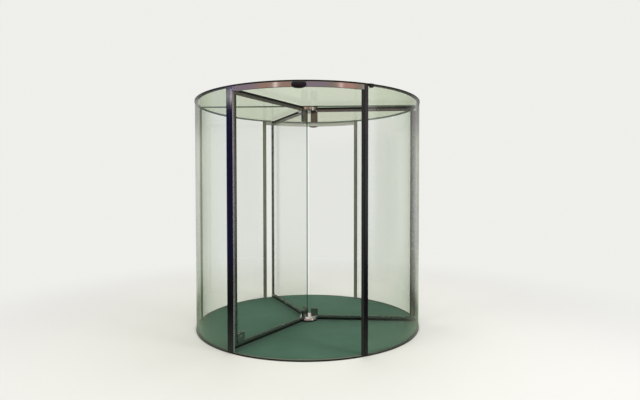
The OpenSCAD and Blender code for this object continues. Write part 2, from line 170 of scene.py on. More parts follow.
def grid_shape(points, wrap_rows=False, wrap_columns=False):
    """Faces of a block of rows x columns points. Face (i, j) joins points (i, j), (i, j+1), (i+1, j+1),
    (i+1, j). u is the distance gone along the rows and v along the columns, both in metres."""
    rows, columns = points.shape[:2]
    i, j = np.meshgrid(
        np.arange(rows if wrap_rows else rows - 1),
        np.arange(columns if wrap_columns else columns - 1), indexing="ij",
    )
    i, j = i.ravel(), j.ravel()
    i1, j1 = (i + 1) % rows, (j + 1) % columns
    quads = np.stack([i * columns + j, i * columns + j1, i1 * columns + j1, i1 * columns + j], 1)
    u = steps_along(points.mean(axis=1))
    v = steps_along(points[rows // 2])
    corners = [(i, j), (i, j + 1), (i + 1, j + 1), (i + 1, j)]
    uv = np.stack([np.stack([u[p], v[q]], 1) for p, q in corners], 1)
    return {"points": points.reshape(-1, 3), "faces": quads.tolist(), "uv": uv.reshape(-1, 2)}


def add_cap(shape, row, uv):
    """Closes an end with one many-sided face over a row of points."""
    shape["faces"].append(list(row))
    shape["uv"] = np.concatenate([shape["uv"], uv])
    return shape


def cap_ends(shape, first, last):
    """Closes both ends of a block of closed rows. first and last are its end rows drawn flat."""
    count = len(shape["points"])
    add_cap(shape, range(len(first)), first)
    return add_cap(shape, range(count - len(last), count), last)


print("a block of 3 x 4 points has", len(grid_shape(np.zeros((3, 4, 3)))["faces"]), "faces")

# %% [markdown]
# Real metal has no knife edges: a saw or a die leaves them and a file takes them off. So every corner of a
# profile is eased before it is carried anywhere. The rounding is a short parabola, which costs three points
# and already catches a highlight the way an arc does.

# %% Profiles with eased corners
EASE_STEPS = 3
MOST_OF_A_SIDE = 0.45


def box_outline(x0, x1, y0, y1):
    """Corners of a rectangle, counterclockwise."""
    return np.array([[x0, y0], [x1, y0], [x1, y1], [x0, y1]], float)


def eased(outline, radius):
    """Closed outline with each corner V replaced by the parabola (1-s)^2 A + 2s(1-s) V + s^2 B, where A and
    B lie on the two sides at the given distance from V. radius is one number or one for each corner; 0
    keeps a corner."""
    corners = np.asarray(outline, float)
    before, after = np.roll(corners, 1, 0) - corners, np.roll(corners, -1, 0) - corners
    length_before, length_after = np.linalg.norm(before, axis=1), np.linalg.norm(after, axis=1)
    longest = MOST_OF_A_SIDE * np.minimum(length_before, length_after)
    reach = np.minimum(np.broadcast_to(radius, len(corners)), longest)
    a = corners + before / length_before[:, None] * reach[:, None]
    b = corners + after / length_after[:, None] * reach[:, None]
    s = np.linspace(0, 1, EASE_STEPS + 1)[None, :, None]
    curve = (1 - s) ** 2 * a[:, None] + 2 * s * (1 - s) * corners[:, None] + s ** 2 * b[:, None]
    kept = [c[:1] if r == 0 else c for c, r in zip(curve, reach)]
    return np.concatenate(kept)


print("an eased square has", len(eased(box_outline(0, 1, 0, 1), 0.1)), "points")

# %% [markdown]
# Two ways to carry a profile are enough for the whole door. Round the axis it makes panes, headers and hub
# discs, with the profile drawn as distance from the axis against level. Straight along a line it makes
# slim bars such as gaskets.

# %% Carrying a profile
STEP_ANGLE = math.radians(1.0)


def round_bar(profile, a0=0.0, a1=FULL_TURN):
    """Profile (distance, level) carried round the axis from azimuth a0 to a1. Point (i, j) is
    (d_j cos a_i, d_j sin a_i, l_j)."""
    closed = math.isclose(a1 - a0, FULL_TURN)
    count = round((a1 - a0) / STEP_ANGLE) + 1
    azimuth = np.linspace(a0, a1, count, endpoint=not closed)
    points = around(profile[:, 0], azimuth[:, None], profile[:, 1])
    shape = grid_shape(points, wrap_rows=closed, wrap_columns=True)
    return shape if closed else cap_ends(shape, profile, profile)


def curved_band(limits, ease):
    """Rectangle that fills the limits, with eased corners, carried round the axis."""
    profile = eased(box_outline(limits.r0, limits.r1, limits.z0, limits.z1), ease)
    return round_bar(profile, limits.a0, limits.a1)


def straight_bar(profile, start, along, side, up, length):
    """Profile (x, y) carried from start along a line: point = start + t along + x side + y up."""
    t = np.array([0.0, length])[:, None, None]
    points = start + t * along + profile[:, :1] * side + profile[:, 1:] * up
    return cap_ends(grid_shape(points, wrap_columns=True), profile, profile)


print("a closed ring has", len(round_bar(box_outline(1.0, 1.1, 0, 0.1))["faces"]), "faces")

# %% [markdown]
# A finished piece is one mesh object at the origin, with its place in its vertices. Its doubles are
# merged, its faces turned outwards, and a Weighted Normal modifier keeps the flat faces flat while the
# eased corners stay smooth.

# %% New pieces
SAME_PLACE = 1e-6
SHARP_DEGREES = 50


def dress(mesh, name, finish, body, nodes):
    """Object for a mesh: smooth shading, finish, the body that it rides on and the nodes that it
    stands for."""
    piece = new_object(name, mesh)
    mesh.shade_smooth()
    mesh.materials.append(finish)
    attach(piece, body)
    if nodes:
        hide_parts(*nodes)
    return piece


def weigh_normals(piece):
    """Large flat faces win over small eased ones, so they shade flat."""
    weighted = piece.modifiers.new("flat_faces_stay_flat", "WEIGHTED_NORMAL")
    weighted.weight = 100
    weighted.keep_sharp = True
    return piece


def make_piece(name, shapes, finish, body, nodes=(), sharp=SHARP_DEGREES):
    """One object from several closed shapes. Edges sharper than so many degrees stay sharp."""
    start = np.concatenate([[0], np.cumsum([len(s["points"]) for s in shapes])])
    faces = [[i + int(o) for i in face] for s, o in zip(shapes, start) for face in s["faces"]]
    mesh = bpy.data.meshes.new(name)
    mesh.from_pydata(np.concatenate([s["points"] for s in shapes]).tolist(), [], faces)
    layer = mesh.uv_layers.new(name="grain")
    layer.data.foreach_set("uv", np.concatenate([s["uv"] for s in shapes]).ravel())
    work = bmesh.new()
    work.from_mesh(mesh)
    bmesh.ops.remove_doubles(work, verts=work.verts, dist=SAME_PLACE)
    bmesh.ops.recalc_face_normals(work, faces=work.faces)
    work.to_mesh(mesh)
    work.free()
    mesh.set_sharp_from_angle(angle=math.radians(sharp))
    return weigh_normals(dress(mesh, name, finish, body, nodes))


print("doubles are points within", SAME_PLACE * 1000, "mm")

# %% [markdown]
# Straight pieces are copies of the frame's own, because the frame itself must stay as it is. Its
# triangles are joined into whole faces before a Bevel modifier rounds the edges, or the bevel would
# run along each triangle.

# %% Copied pieces
FLAT_ANGLE = math.radians(0.4)
BEVEL_ANGLE = math.radians(40)
COPY_EASE = 0.0006


def copy_piece(node, ending, finish, body, ease=COPY_EASE):
    """Copy of a frame node, named with an ending, with its triangles joined into whole faces and its sharp
    edges rounded by ease."""
    name = f"{node}_{ending}"
    work = bmesh.new()
    work.from_mesh(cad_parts[node].data)
    bmesh.ops.remove_doubles(work, verts=work.verts, dist=SAME_PLACE)
    bmesh.ops.dissolve_limit(work, angle_limit=FLAT_ANGLE, verts=work.verts, edges=work.edges)
    mesh = bpy.data.meshes.new(name)
    work.to_mesh(mesh)
    work.free()
    piece = dress(mesh, name, finish, body, [node])
    round_over = piece.modifiers.new("eased_edges", "BEVEL")
    round_over.width = ease
    round_over.segments = 2
    round_over.limit_method = "ANGLE"
    round_over.angle_limit = BEVEL_ANGLE
    return weigh_normals(piece)


print("copies get edges of", COPY_EASE * 1000, "mm")

# %% [markdown]
# Many pieces have two finishes, such as a pane with its ground edges or a header with its plain
# inner side. A rule about a face, which way it looks or how near to the axis it lies, says where
# the second finish goes.

# %% Second finishes
EDGE_COSINE = 0.75
FACING_COSINE = 0.7
NEAR_ENOUGH = 0.001


def refinish(piece, finish, chosen):
    """Adds a finish to a piece and gives it to the faces that the rule picks. Returns their number."""
    piece.data.materials.append(finish)
    picked = [face for face in piece.data.polygons if chosen(face)]
    for face in picked:
        face.material_index = len(piece.data.materials) - 1
    return len(picked)


def within(radius):
    """Rule that picks the faces whose middle is no further from the axis than the radius."""
    return lambda face: math.hypot(face.center.x, face.center.y) < radius + NEAR_ENOUGH


def facing(direction):
    """Rule that picks the faces that look more or less in a direction."""
    return lambda face: face.normal.dot(direction) > FACING_COSINE


def edge_of_sheet(across):
    """Rule that picks the edges of a flat pane: the faces that don't look across it."""
    return lambda face: abs(face.normal.dot(across)) < EDGE_COSINE


def edge_of_shell(face):
    """Rule that picks the edges of a curved pane: the faces that don't look to the axis or from it."""
    outwards = Vector((face.center.x, face.center.y, 0)).normalized()
    return abs(face.normal.dot(outwards)) < EDGE_COSINE


print("a face looks in a direction within", round(math.degrees(math.acos(FACING_COSINE))), "degrees of it")

# %% [markdown]
# Materials are node trees. Writing them by hand is long-winded, so a small helper adds one node and fills
# its inputs with numbers or links. Constants go straight onto the shader's own sockets.

# %% Adding nodes
def node_writer(tree):
    """Clears a node tree and gives the function that adds nodes to it."""
    tree.nodes.clear()

    def add(kind, settings=None, inputs=None, out=0):
        """Adds a node and returns one output of it. inputs maps a socket's name or number to a value or an
        output. A colour is written without its alpha."""
        made = tree.nodes.new("ShaderNode" + kind)
        for key, value in (settings or {}).items():
            setattr(made, key, value)
        for key, value in (inputs or {}).items():
            socket = made.inputs[key]
            if isinstance(value, bpy.types.NodeSocket):
                tree.links.new(value, socket)
            else:
                socket.default_value = (*value, 1) if socket.type == "RGBA" else value
        return made.outputs[out] if made.outputs else made

    return add


def new_finish(name):
    """Empty material and the function that adds nodes to it."""
    material = bpy.data.materials.new(name)
    material.use_nodes = True
    return material, node_writer(material.node_tree)


print("every finish starts from an empty node tree")

# %% [markdown]
# The finishes of this door are made from a few steps: noise, a value stretched to another range, a little
# arithmetic and a blend of two colours. Patterns read Object coordinates, or the UV map in metres where
# grain has to follow a bar.

# %% Patterns and tones
def place(add, scale=(1, 1, 1), turn=0.0, by="Object"):
    """Coordinates for a pattern: Object or UV, turned about the axis and stretched."""
    source = add("TexCoord", out=by)
    turned = add("Mapping", inputs={"Vector": source, "Rotation": (0, 0, -turn)})
    return add("Mapping", inputs={"Vector": turned, "Scale": scale})


def noise(add, at, scale, detail=4.0, roughness=0.55):
    """Noise of so many waves to the metre, between 0 and 1."""
    return add("TexNoise", inputs={"Vector": at, "Scale": scale, "Detail": detail, "Roughness": roughness})


def spread(add, value, low, high, start=0.0, end=1.0):
    """A value from start to end, stretched to low to high and clamped."""
    return add("MapRange", {"clamp": True}, {0: value, 1: start, 2: end, 3: low, 4: high})


def calc(add, operation, first, second=0.0, third=0.0):
    """One arithmetic step on two or three numbers."""
    return add("Math", {"operation": operation}, {0: first, 1: second, 2: third})


def blend_colours(add, factor, first, second):
    """Colour that goes from first to second."""
    return add("Mix", {"data_type": "RGBA"}, {0: factor, 6: first, 7: second}, out=2)


def shade(colour, gain, lift=0.0):
    """The same colour, lighter or darker: each channel c becomes c gain + lift, at most 1."""
    return tuple(min(1.0, c * gain + lift) for c in colour)


print("noise is counted in waves to the metre")

# %% [markdown]
# Detail finer than a millimetre is relief in the material, which bends the light as real bumps would. Each
# finish then hands its colour, roughness and relief to one shader.

# %% Relief and shader
def relief(add, height, distance, strength=1.0, under=None):
    """Bump of that many metres, on top of another one if given."""
    inputs = {"Height": height, "Distance": distance, "Strength": strength}
    if under is not None:
        inputs["Normal"] = under
    return add("Bump", inputs=inputs)


def principled(add, colour, rough, bump, more=None):
    """Shader of this colour, roughness and relief. more names further sockets."""
    inputs = {"Base Color": colour, "Roughness": rough, "Normal": bump}
    return add("BsdfPrincipled", inputs={**inputs, **(more or {})})


def show(add, shader):
    """Sends a shader to the surface."""
    add("OutputMaterial", inputs={"Surface": shader})


print("relief is given in metres")

# %% [markdown]
# Window glass is green because of a little iron, and the tint grows with the length of the way through it.
# In a flat pane refraction keeps that way short, one over the cosine of the angle inside, which is never
# more than a third longer than the pane is thick. In a curved pane a ray along the outline runs on inside
# the shell, so there the way grows as one over the cosine outside, and the outline turns green. A
# refracting shader would need many samples through six or eight panes, so here light goes straight on: each
# face lets through the tint of half a pane, raised to that way, and mirrors by Schlick's rule, 0.04 plus
# 0.96 times the fifth power of one minus the cosine. A trace of dust lets the surface itself be seen.

# %% Sheet glass
WALL_TINT = (0.984, 0.991, 0.980)
CEILING_TINT = (0.920, 0.945, 0.880)
WING_TINT = (0.986, 0.992, 0.983)
LEAST_COSINE = 0.12
GLASS_INDEX = 1.52
HEAD_ON = 0.04
DUST_COLOUR = (0.80, 0.82, 0.78)
DUST_LEVELS = (0.05, 0.9)


def sheet_glass(name, half_tint, curved, gloss=1.0):
    """Clear, slightly green glass. half_tint is what half the pane's thickness lets through straight on,
    and gloss the share of the mirror light that its faces give back."""
    material, add = new_finish(name)
    glancing = add("LayerWeight", inputs={"Blend": 0.5}, out="Facing")
    outside = calc(add, "SUBTRACT", 1.0, glancing)
    if curved:
        cosine = calc(add, "MAXIMUM", outside, LEAST_COSINE)
    else:
        sine_squared = calc(add, "SUBTRACT", 1.0, calc(add, "MULTIPLY", outside, outside))
        bent = calc(add, "DIVIDE", sine_squared, GLASS_INDEX ** 2)
        cosine = calc(add, "SQRT", calc(add, "SUBTRACT", 1.0, bent))
    way = calc(add, "DIVIDE", 1.0, cosine)
    channels = {i: calc(add, "POWER", tint, way) for i, tint in enumerate(half_tint)}
    through = add("BsdfTransparent", inputs={"Color": add("CombineColor", inputs=channels)})
    mirror = add("BsdfGlossy", inputs={"Color": (1, 1, 1), "Roughness": 0.004})
    shine = calc(add, "MULTIPLY_ADD", calc(add, "POWER", glancing, 5.0), 1 - HEAD_ON, HEAD_ON)
    clean = add("MixShader", inputs={0: calc(add, "MULTIPLY", shine, gloss), 1: through, 2: mirror})
    at = place(add)
    smears = calc(add, "MULTIPLY", noise(add, at, 5.0, 5.0, 0.65), noise(add, at, 60.0))
    low = spread(add, add("SeparateXYZ", inputs={0: at}, out=2), 1.0, 0.35, *DUST_LEVELS)
    dust = spread(add, calc(add, "MULTIPLY", smears, low), 0.0, 0.012, 0.12, 0.5)
    dusty = add("BsdfDiffuse", inputs={"Color": DUST_COLOUR})
    show(add, add("MixShader", inputs={0: dust, 1: clean, 2: dusty}))
    return material


wall_sheet = sheet_glass("curved_wall_glass", WALL_TINT, True)
ceiling_sheet = sheet_glass("ceiling_sheet_glass", CEILING_TINT, False, 0.35)
wing_sheet = sheet_glass("wing_sheet_glass", WING_TINT, False)
print("straight on, a wall pane lets through", [round(tint ** 2, 3) for tint in WALL_TINT])

# %% [markdown]
# The ground edge of a pane is another matter. Light that travelled far inside comes out there, deep green,
# and the grinding leaves a silky surface. The material lets part of the light through, so that an edge seen
# against something bright glows.

# %% Ground edges
EDGE_DARK = (0.018, 0.075, 0.050)
EDGE_LIGHT = (0.05, 0.16, 0.11)
EDGE_THROUGH = (0.40, 0.68, 0.55)
EDGE_BODY = 0.60

glass_edge, add = new_finish("ground_glass_edge")
at = place(add)
deep = blend_colours(add, noise(add, at, 9.0), EDGE_DARK, EDGE_LIGHT)
silky = spread(add, noise(add, at, 700.0), 0.16, 0.34)
ground = relief(add, noise(add, at, 1800.0), 0.00004)
body = principled(add, deep, silky, ground, {"Specular IOR Level": 0.6})
clear = add("BsdfTransparent", inputs={"Color": EDGE_THROUGH})
show(add, add("MixShader", inputs={0: EDGE_BODY, 1: clear, 2: body}))
print("finish", glass_edge.name)

# %% [markdown]
# The four curved wall panes carry the drum's whole look. Each is a rectangle, 12 mm thick with its corners
# arrissed, carried round the axis from its facade joint to its post.

# %% Curved wall panes
ARRIS = 0.0012
for node, limits in panes.items():
    shell = curved_band(limits, ARRIS)
    piece = make_piece(f"{node}_pane", [shell], wall_sheet, "drum", [node])
    print(node, "edge faces", refinish(piece, glass_edge, edge_of_shell))

# %% [markdown]
# The ceiling is two half discs of glass on the ledge of the top ring, with a tee bar between them.
# Flat plates keep their shape from the frame, and only the arris along their edges is new. The wings'
# glass is made the same way.

# %% Ceiling glass and wing glass
for node in ["front_ceiling_glass", "rear_ceiling_glass"]:
    piece = copy_piece(node, "pane", ceiling_sheet, "drum", ARRIS)
    print(node, "edge faces", refinish(piece, glass_edge, edge_of_sheet(UP)))
for w, azimuth in wing_azimuth.items():
    through = wing_axes(azimuth)[1]
    piece = copy_piece(f"wing_{w}_glass", "pane", wing_sheet, "wings", ARRIS)
    print("wing", w, "edge faces", refinish(piece, glass_edge, edge_of_sheet(through)))

# %% [markdown]
# Black lacquer on the posts is glossy and nearly flawless, so its finish is mostly in what it mirrors: a
# faint orange-peel relief, fine dust in the roughness, and a duller, greyer foot, which gets most of the
# scuffs.

# %% Black lacquer
LACQUER = (0.003, 0.003, 0.004)
WORN_LACQUER = (0.10, 0.095, 0.085)
WORN_UP_TO = 0.34

post_black, add = new_finish("gloss_black_lacquer")
at = place(add)
height = add("SeparateXYZ", inputs={0: at}, out=2)
foot = spread(add, height, 1.0, 0.0, 0.02, WORN_UP_TO)
scuffs = spread(add, noise(add, place(add, (26, 26, 5)), 9.0, 8.0, 0.7), 0.0, 1.0, 0.52, 0.72)
worn = calc(add, "MULTIPLY", foot, scuffs)
cloudy = spread(add, noise(add, at, 3.0), 0.0, 0.35)
base = blend_colours(add, cloudy, LACQUER, shade(LACQUER, 1.6, 0.001))
base = blend_colours(add, calc(add, "MULTIPLY", worn, 0.6), base, WORN_LACQUER)
rough = spread(add, noise(add, at, 22.0, 8.0, 0.7), 0.05, 0.12, 0.25, 0.75)
rough = calc(add, "ADD", rough, calc(add, "MULTIPLY", worn, 0.3))
peel = relief(add, noise(add, at, 320.0, 2.0), 0.00005)
scratch = relief(add, noise(add, place(add, (900, 900, 12)), 1.0, 2.0), 0.00002, under=peel)
coat = {"Coat Weight": 0.20, "Coat Roughness": 0.06, "Specular IOR Level": 0.45}
show(add, principled(add, base, rough, scratch, coat))
print("finish", post_black.name)

# %% [markdown]
# The two rings are anodised nearly black, and the facade joints and the ceiling's tee bar a lighter
# olive bronze. Anodising colours a thin skin and the metal under it still shines, so a face takes the
# tone of what it mirrors.

# %% Anodised finishes
def anodised(name, colour, rough_low, rough_high):
    """Anodised metal with a fine grain, rubbed a little lighter in places."""
    material, add = new_finish(name)
    at = place(add)
    rubbed = spread(add, noise(add, at, 16.0, 7.0, 0.65), 0.0, 1.0, 0.45, 0.75)
    base = blend_colours(add, rubbed, colour, shade(colour, 1.5))
    rough = spread(add, noise(add, at, 60.0, 6.0, 0.6), rough_low, rough_high, 0.3, 0.7)
    grain = relief(add, noise(add, at, 2600.0, 2.0), 0.000006)
    show(add, principled(add, base, rough, grain, {"Metallic": 1.0}))
    return material


ring_black = anodised("dark_bronze_anodised", (0.042, 0.040, 0.032), 0.22, 0.36)
joint_bronze = anodised("olive_bronze_anodised", (0.60, 0.61, 0.44), 0.28, 0.42)
print("finishes", ring_black.name, joint_bronze.name)

# %% [markdown]
# The posts, facade joints and the ceiling's tee bar are extrusions. Their outlines with pockets and
# chambers are already exact in the frame, so they are copied and their edges eased by half a millimetre.

# %% Posts, facade joints and ceiling joint
POSTS = ["front_left_post", "front_right_post", "rear_left_post", "rear_right_post"]
JOINT_BARS = ["left_facade_joint", "right_facade_joint", "ceiling_joint"]
BAR_EASE = 0.0004
post_pieces = {node: copy_piece(node, "extrusion", post_black, "drum") for node in POSTS}
for node in JOINT_BARS:
    copy_piece(node, "bar", joint_bronze, "drum", BAR_EASE)
print("copied", len(POSTS), "posts and", len(JOINT_BARS), "joint bars")

# %% [markdown]
# The two rings hold the wall glass in a groove, which stops at the entrances. The profile is carried all
# the way round, and its groove floor rises to the mouth over the entrances, so the ring is one closed
# surface. The azimuths come in close pairs at each end of a groove to keep those ends square.

# %% Grooves
PAIR_REACH = math.radians(0.02)
SAME_LEVEL = 1e-9
spans = sorted((limits.a0, limits.a1) for limits in panes.values())


def groove_azimuths():
    """Evenly spaced azimuths, with a close pair at each end of each pane."""
    even = np.arange(0, FULL_TURN, STEP_ANGLE)
    ends = np.array([e + d for span in spans for e in span for d in (-PAIR_REACH, PAIR_REACH)])
    return np.unique(np.round(np.concatenate([even, ends % FULL_TURN]), 7))


def in_groove(azimuth):
    """True where a pane stands."""
    inside = np.zeros(len(azimuth), bool)
    for a0, a1 in spans:
        inside |= (azimuth - a0) % FULL_TURN <= (a1 - a0)
    return inside


def grooved_ring(outline, ease, groove_floor, mouth):
    """Ring whose groove floor, its points at that level, rises to the mouth away from the panes."""
    profile = eased(outline, ease)
    azimuth = groove_azimuths()[:, None]
    is_floor = np.abs(profile[:, 1] - groove_floor) < SAME_LEVEL
    closed_up = is_floor & ~in_groove(azimuth[:, 0])[:, None]
    levels = np.where(closed_up, mouth, np.where(is_floor, groove_floor, profile[:, 1]))
    return grid_shape(around(profile[:, 0], azimuth, levels), wrap_rows=True, wrap_columns=True)


print("rings with", len(groove_azimuths()), "stations")

# %% [markdown]
# With that function the floor ring is a rectangle with a groove in its top. The top ring has its
# groove below, and above it a rebate for the ceiling glass. Corners that touch glass or floor stay
# sharp, the rest are eased.

# %% Grooved rings
EDGE_EASE = 0.0012
rebate = round_limits("rear_ceiling_glass").r1 + GLASS_SEAT
ledge = round_limits("rear_ceiling_glass").z0
crown_floor = pane.z1 + GLASS_SEAT

floor_outline = np.array([
    [ring.r0, ring.z0], [ring.r1, ring.z0], [ring.r1, ring.z1], [groove_out, ring.z1],
    [groove_out, pane.z0], [groove_in, pane.z0], [groove_in, ring.z1], [ring.r0, ring.z1],
])
floor_ease = [0, EDGE_EASE, EDGE_EASE, 0, 0, 0, 0, EDGE_EASE]
floor_shape = grooved_ring(floor_outline, floor_ease, pane.z0, ring.z1)
floor_band = make_piece("floor_ring_band", [floor_shape], ring_black, "drum", ["floor_ring"])

crown_outline = np.array([
    [crown.r0, crown.z0], [groove_in, crown.z0], [groove_in, crown_floor], [groove_out, crown_floor],
    [groove_out, crown.z0], [crown.r1, crown.z0], [crown.r1, crown.z1], [rebate, crown.z1], [rebate, ledge],
    [crown.r0, ledge],
])
crown_ease = [EDGE_EASE, 0, 0, 0, 0, EDGE_EASE, EDGE_EASE, EDGE_EASE, 0, EDGE_EASE / 2]
crown_shape = grooved_ring(crown_outline, crown_ease, crown_floor, crown.z0)
crown_band = make_piece("top_ring_band", [crown_shape], ring_black, "drum", ["top_ring"])
print("floor ring", len(floor_shape["faces"]), "faces, top ring", len(crown_shape["faces"]))

# %% [markdown]
# Polished stainless steel is almost a mirror, but never quite: rolling leaves fine lines along the sheet,
# hands leave smears, and edges dull a little. The colour is that of the metal, so it tints what it mirrors.
# Roughness carries most of the story, and the relief is only a few hundredths of a millimetre. Brushed
# aluminium is the same recipe with longer and rougher lines, which run along each bar.

# %% Steel and aluminium finishes
STEEL = (0.50, 0.475, 0.455)
BRIGHT_STEEL = (0.74, 0.71, 0.69)
PLATE = (0.36, 0.345, 0.31)
RAIL = (0.36, 0.345, 0.325)
# partly painted reflection: the pale mauve of the cover strip's reveal stands in for what it mirrors
PALE_PAINTED_REFLECTION = (0.62, 0.58, 0.62)
UPRIGHT = (700, 700, 3)
LENGTHWISE = (3, 700, 700)


def worked_metal(name, colour, rough, grain, depth, turn=0.0, by="Object", bare=1.0):
    """Bare metal with fine lines along the grain's long axis, smears and small stains. grain gives the
    waves to the metre along each axis, rough the two ends of the roughness, depth the relief of the lines
    and bare the share that is not covered by a dull skin."""
    material, add = new_finish(name)
    lines = noise(add, place(add, grain, turn, by), 1.0, 3.0, 0.6)
    at = place(add)
    smears = noise(add, at, 14.0, 6.0, 0.6)
    stains = spread(add, noise(add, at, 55.0, 5.0, 0.7), 0.0, 1.0, 0.58, 0.75)
    base = blend_colours(add, lines, shade(colour, 0.86), shade(colour, 1.10))
    base = blend_colours(add, calc(add, "MULTIPLY", stains, 0.25), base, shade(colour, 0.55))
    wear = calc(add, "ADD", spread(add, smears, 0.0, 0.6, 0.4, 0.7), calc(add, "MULTIPLY", lines, 0.4))
    dull = spread(add, wear, *rough)
    show(add, principled(add, base, dull, relief(add, lines, depth), {"Metallic": bare}))
    return material


polished = worked_metal("polished_stainless", STEEL, (0.07, 0.20), (3, 3, 900), 0.000008)
turned = worked_metal("turned_stainless", BRIGHT_STEEL, (0.06, 0.18), (400, 2, 1), 0.000008, by="UV")
plate_metal = worked_metal("brushed_stainless_plate", PLATE, (0.16, 0.30), (6, 6, 1300), 0.00001)
reveal_painted_reflection = worked_metal("pale_aluminium_painted_reflection", PALE_PAINTED_REFLECTION, (0.22, 0.34), UPRIGHT, 0.000002, bare=0.90)
upright_grain = worked_metal("satin_aluminium_upright", RAIL, (0.22, 0.34), UPRIGHT, 0.000002)
rail_grain = {
    w: worked_metal(f"satin_aluminium_rail_{w}", RAIL, (0.20, 0.32), LENGTHWISE, 0.000002, azimuth)
    for w, azimuth in wing_azimuth.items()
}
print("rails with grain along", len(rail_grain), "wings")

# %% [markdown]
# Faces that nobody was meant to look at are left as they come from the mill. The rolled skin scatters most
# of the light, so it looks pale and nearly matt beside a polished face, whatever stands round it. That pale
# tone is partly painted reflection, standing in for the bright things that these faces mirror.

# %% Mill finish, partly painted reflection
def matt_metal_painted_light(name, dark, light):
    """Mill-finish metal between two tones, which also serve as painted light: most of its light is scattered
    by the rolled skin.
    """
    material, add = new_finish(name)
    at = place(add)
    base = blend_colours(add, noise(add, place(add, (2, 2, 30)), 3.0, 5.0, 0.6), dark, light)
    rough = spread(add, noise(add, at, 40.0), 0.34, 0.50)
    skin = relief(add, noise(add, at, 1200.0, 2.0), 0.00001)
    show(add, principled(add, base, rough, skin, {"Metallic": 0.35}))
    return material


# painted reflection: pale, nearly matt tones for the inner faces of the headers and the top ring
mill_finish_painted_reflection = matt_metal_painted_light("mill_stainless_painted_reflection", (0.50, 0.49, 0.465), (0.66, 0.65, 0.62))
# painted reflection: dull olive for what the posts' inner faces mirror
post_lining_painted_reflection = matt_metal_painted_light("olive_post_painted_reflection", (0.20, 0.205, 0.145), (0.27, 0.275, 0.20))
# painted light: lighter olive on the ring lips, for the light that catches them
ring_lip_painted_light = matt_metal_painted_light("olive_ring_painted_light", (0.085, 0.10, 0.07), (0.12, 0.14, 0.10))
print("finishes", mill_finish_painted_reflection.name, post_lining_painted_reflection.name, ring_lip_painted_light.name)

# %% [markdown]
# Over each entrance a header of stainless steel bridges the two posts, a band that follows the drum. Its
# outer face is polished, and its long eased edges draw the bright lines that show its curve. Its face
# towards the wings has the mill finish with its painted pale reflection, and so has the top ring's.

# %% Headers
HEADER_EASE = 0.0015
for node in ["front_header", "rear_header"]:
    limits = round_limits(node)
    bent = curved_band(limits, HEADER_EASE)
    band = make_piece(f"{node}_band", [bent], polished, "drum", [node])
    inner_faces = refinish(band, mill_finish_painted_reflection, within(limits.r0))
    print(node, round(limits.height * 1000), "mm deep, inner faces", inner_faces)
print("top ring, inner faces", refinish(crown_band, mill_finish_painted_reflection, within(crown.r0)))

# %% [markdown]
# The posts show the same contrast: lacquered black outside and, on the face that looks at the wings, a dull
# olive skin whose tone is painted reflection. The narrow lips of the two rings, one under the wall glass and
# one over it, have that skin too, in a lighter olive that is painted light.

# %% Inner faces of posts and rings
for node, piece in post_pieces.items():
    outwards = wing_axes(round_limits(node).middle)[0]
    print(node, "inner faces", refinish(piece, post_lining_painted_reflection, facing(-outwards)))
print("floor ring, lip faces", refinish(floor_band, ring_lip_painted_light, facing(UP)))
print("top ring, lip faces", refinish(crown_band, ring_lip_painted_light, facing(-UP)))

# %% [markdown]
# The mat is a heavy ribbed needle-felt, dark green. Its pile, tufts and ribs are relief in the material,
# because fibres under a millimetre are beyond what a mesh should carry. Three layers of colour lie over each
# other: the pile from dark to light, paler trodden patches, and small specks of dry dust.

# %% Green felt
FELT_DARK = (0.026, 0.066, 0.045)
FELT_LIGHT = (0.056, 0.121, 0.082)
FELT_TRODDEN = (0.076, 0.143, 0.101)
FELT_DUST = (0.12, 0.14, 0.11)

mat_felt, add = new_finish("ribbed_green_felt")
at = place(add)
pile = noise(add, at, 900.0, 3.0, 0.7)
tufts = noise(add, at, 240.0, 3.0, 0.6)
ribs = add("TexWave", {"wave_type": "BANDS", "bands_direction": "Y"}, {
    "Vector": at, "Scale": 24.0, "Distortion": 1.2, "Detail": 2.0, "Detail Scale": 6.0,
}, out="Fac")
trodden = spread(add, noise(add, at, 1.7, 5.0, 0.6), 0.0, 0.45, 0.35, 0.7)
dust = spread(add, noise(add, at, 75.0, 8.0, 0.8), 0.0, 0.30, 0.62, 0.78)
felt = blend_colours(add, spread(add, pile, 0.0, 1.0, 0.3, 0.7), FELT_DARK, FELT_LIGHT)
felt = blend_colours(add, trodden, felt, FELT_TRODDEN)
felt = blend_colours(add, dust, felt, FELT_DUST)
pile_bump = relief(add, tufts, 0.0008, 0.8, under=relief(add, ribs, 0.0009, 0.55))
sheen = {
    "Sheen Weight": 0.12, "Sheen Roughness": 0.4, "Sheen Tint": (0.55, 0.75, 0.62),
    "Specular IOR Level": 0.2,
}
show(add, principled(add, felt, spread(add, pile, 0.78, 0.98), pile_bump, sheen))
print("finish", mat_felt.name)

# %% [markdown]
# The mat lies in the floor ring, and its surface is not flat: it swells and sinks by half a millimetre with
# use, and its rims are rounded down. These large waves are geometry, one grid of distance and azimuth.

# %% Mat
MAT_RINGS = 96
MAT_ROUND = 360
MAT_SINK = 0.0006
RIM_FADE = 0.05
RIM_DROP = 0.0012
mat_limits = round_limits("floor_mat")


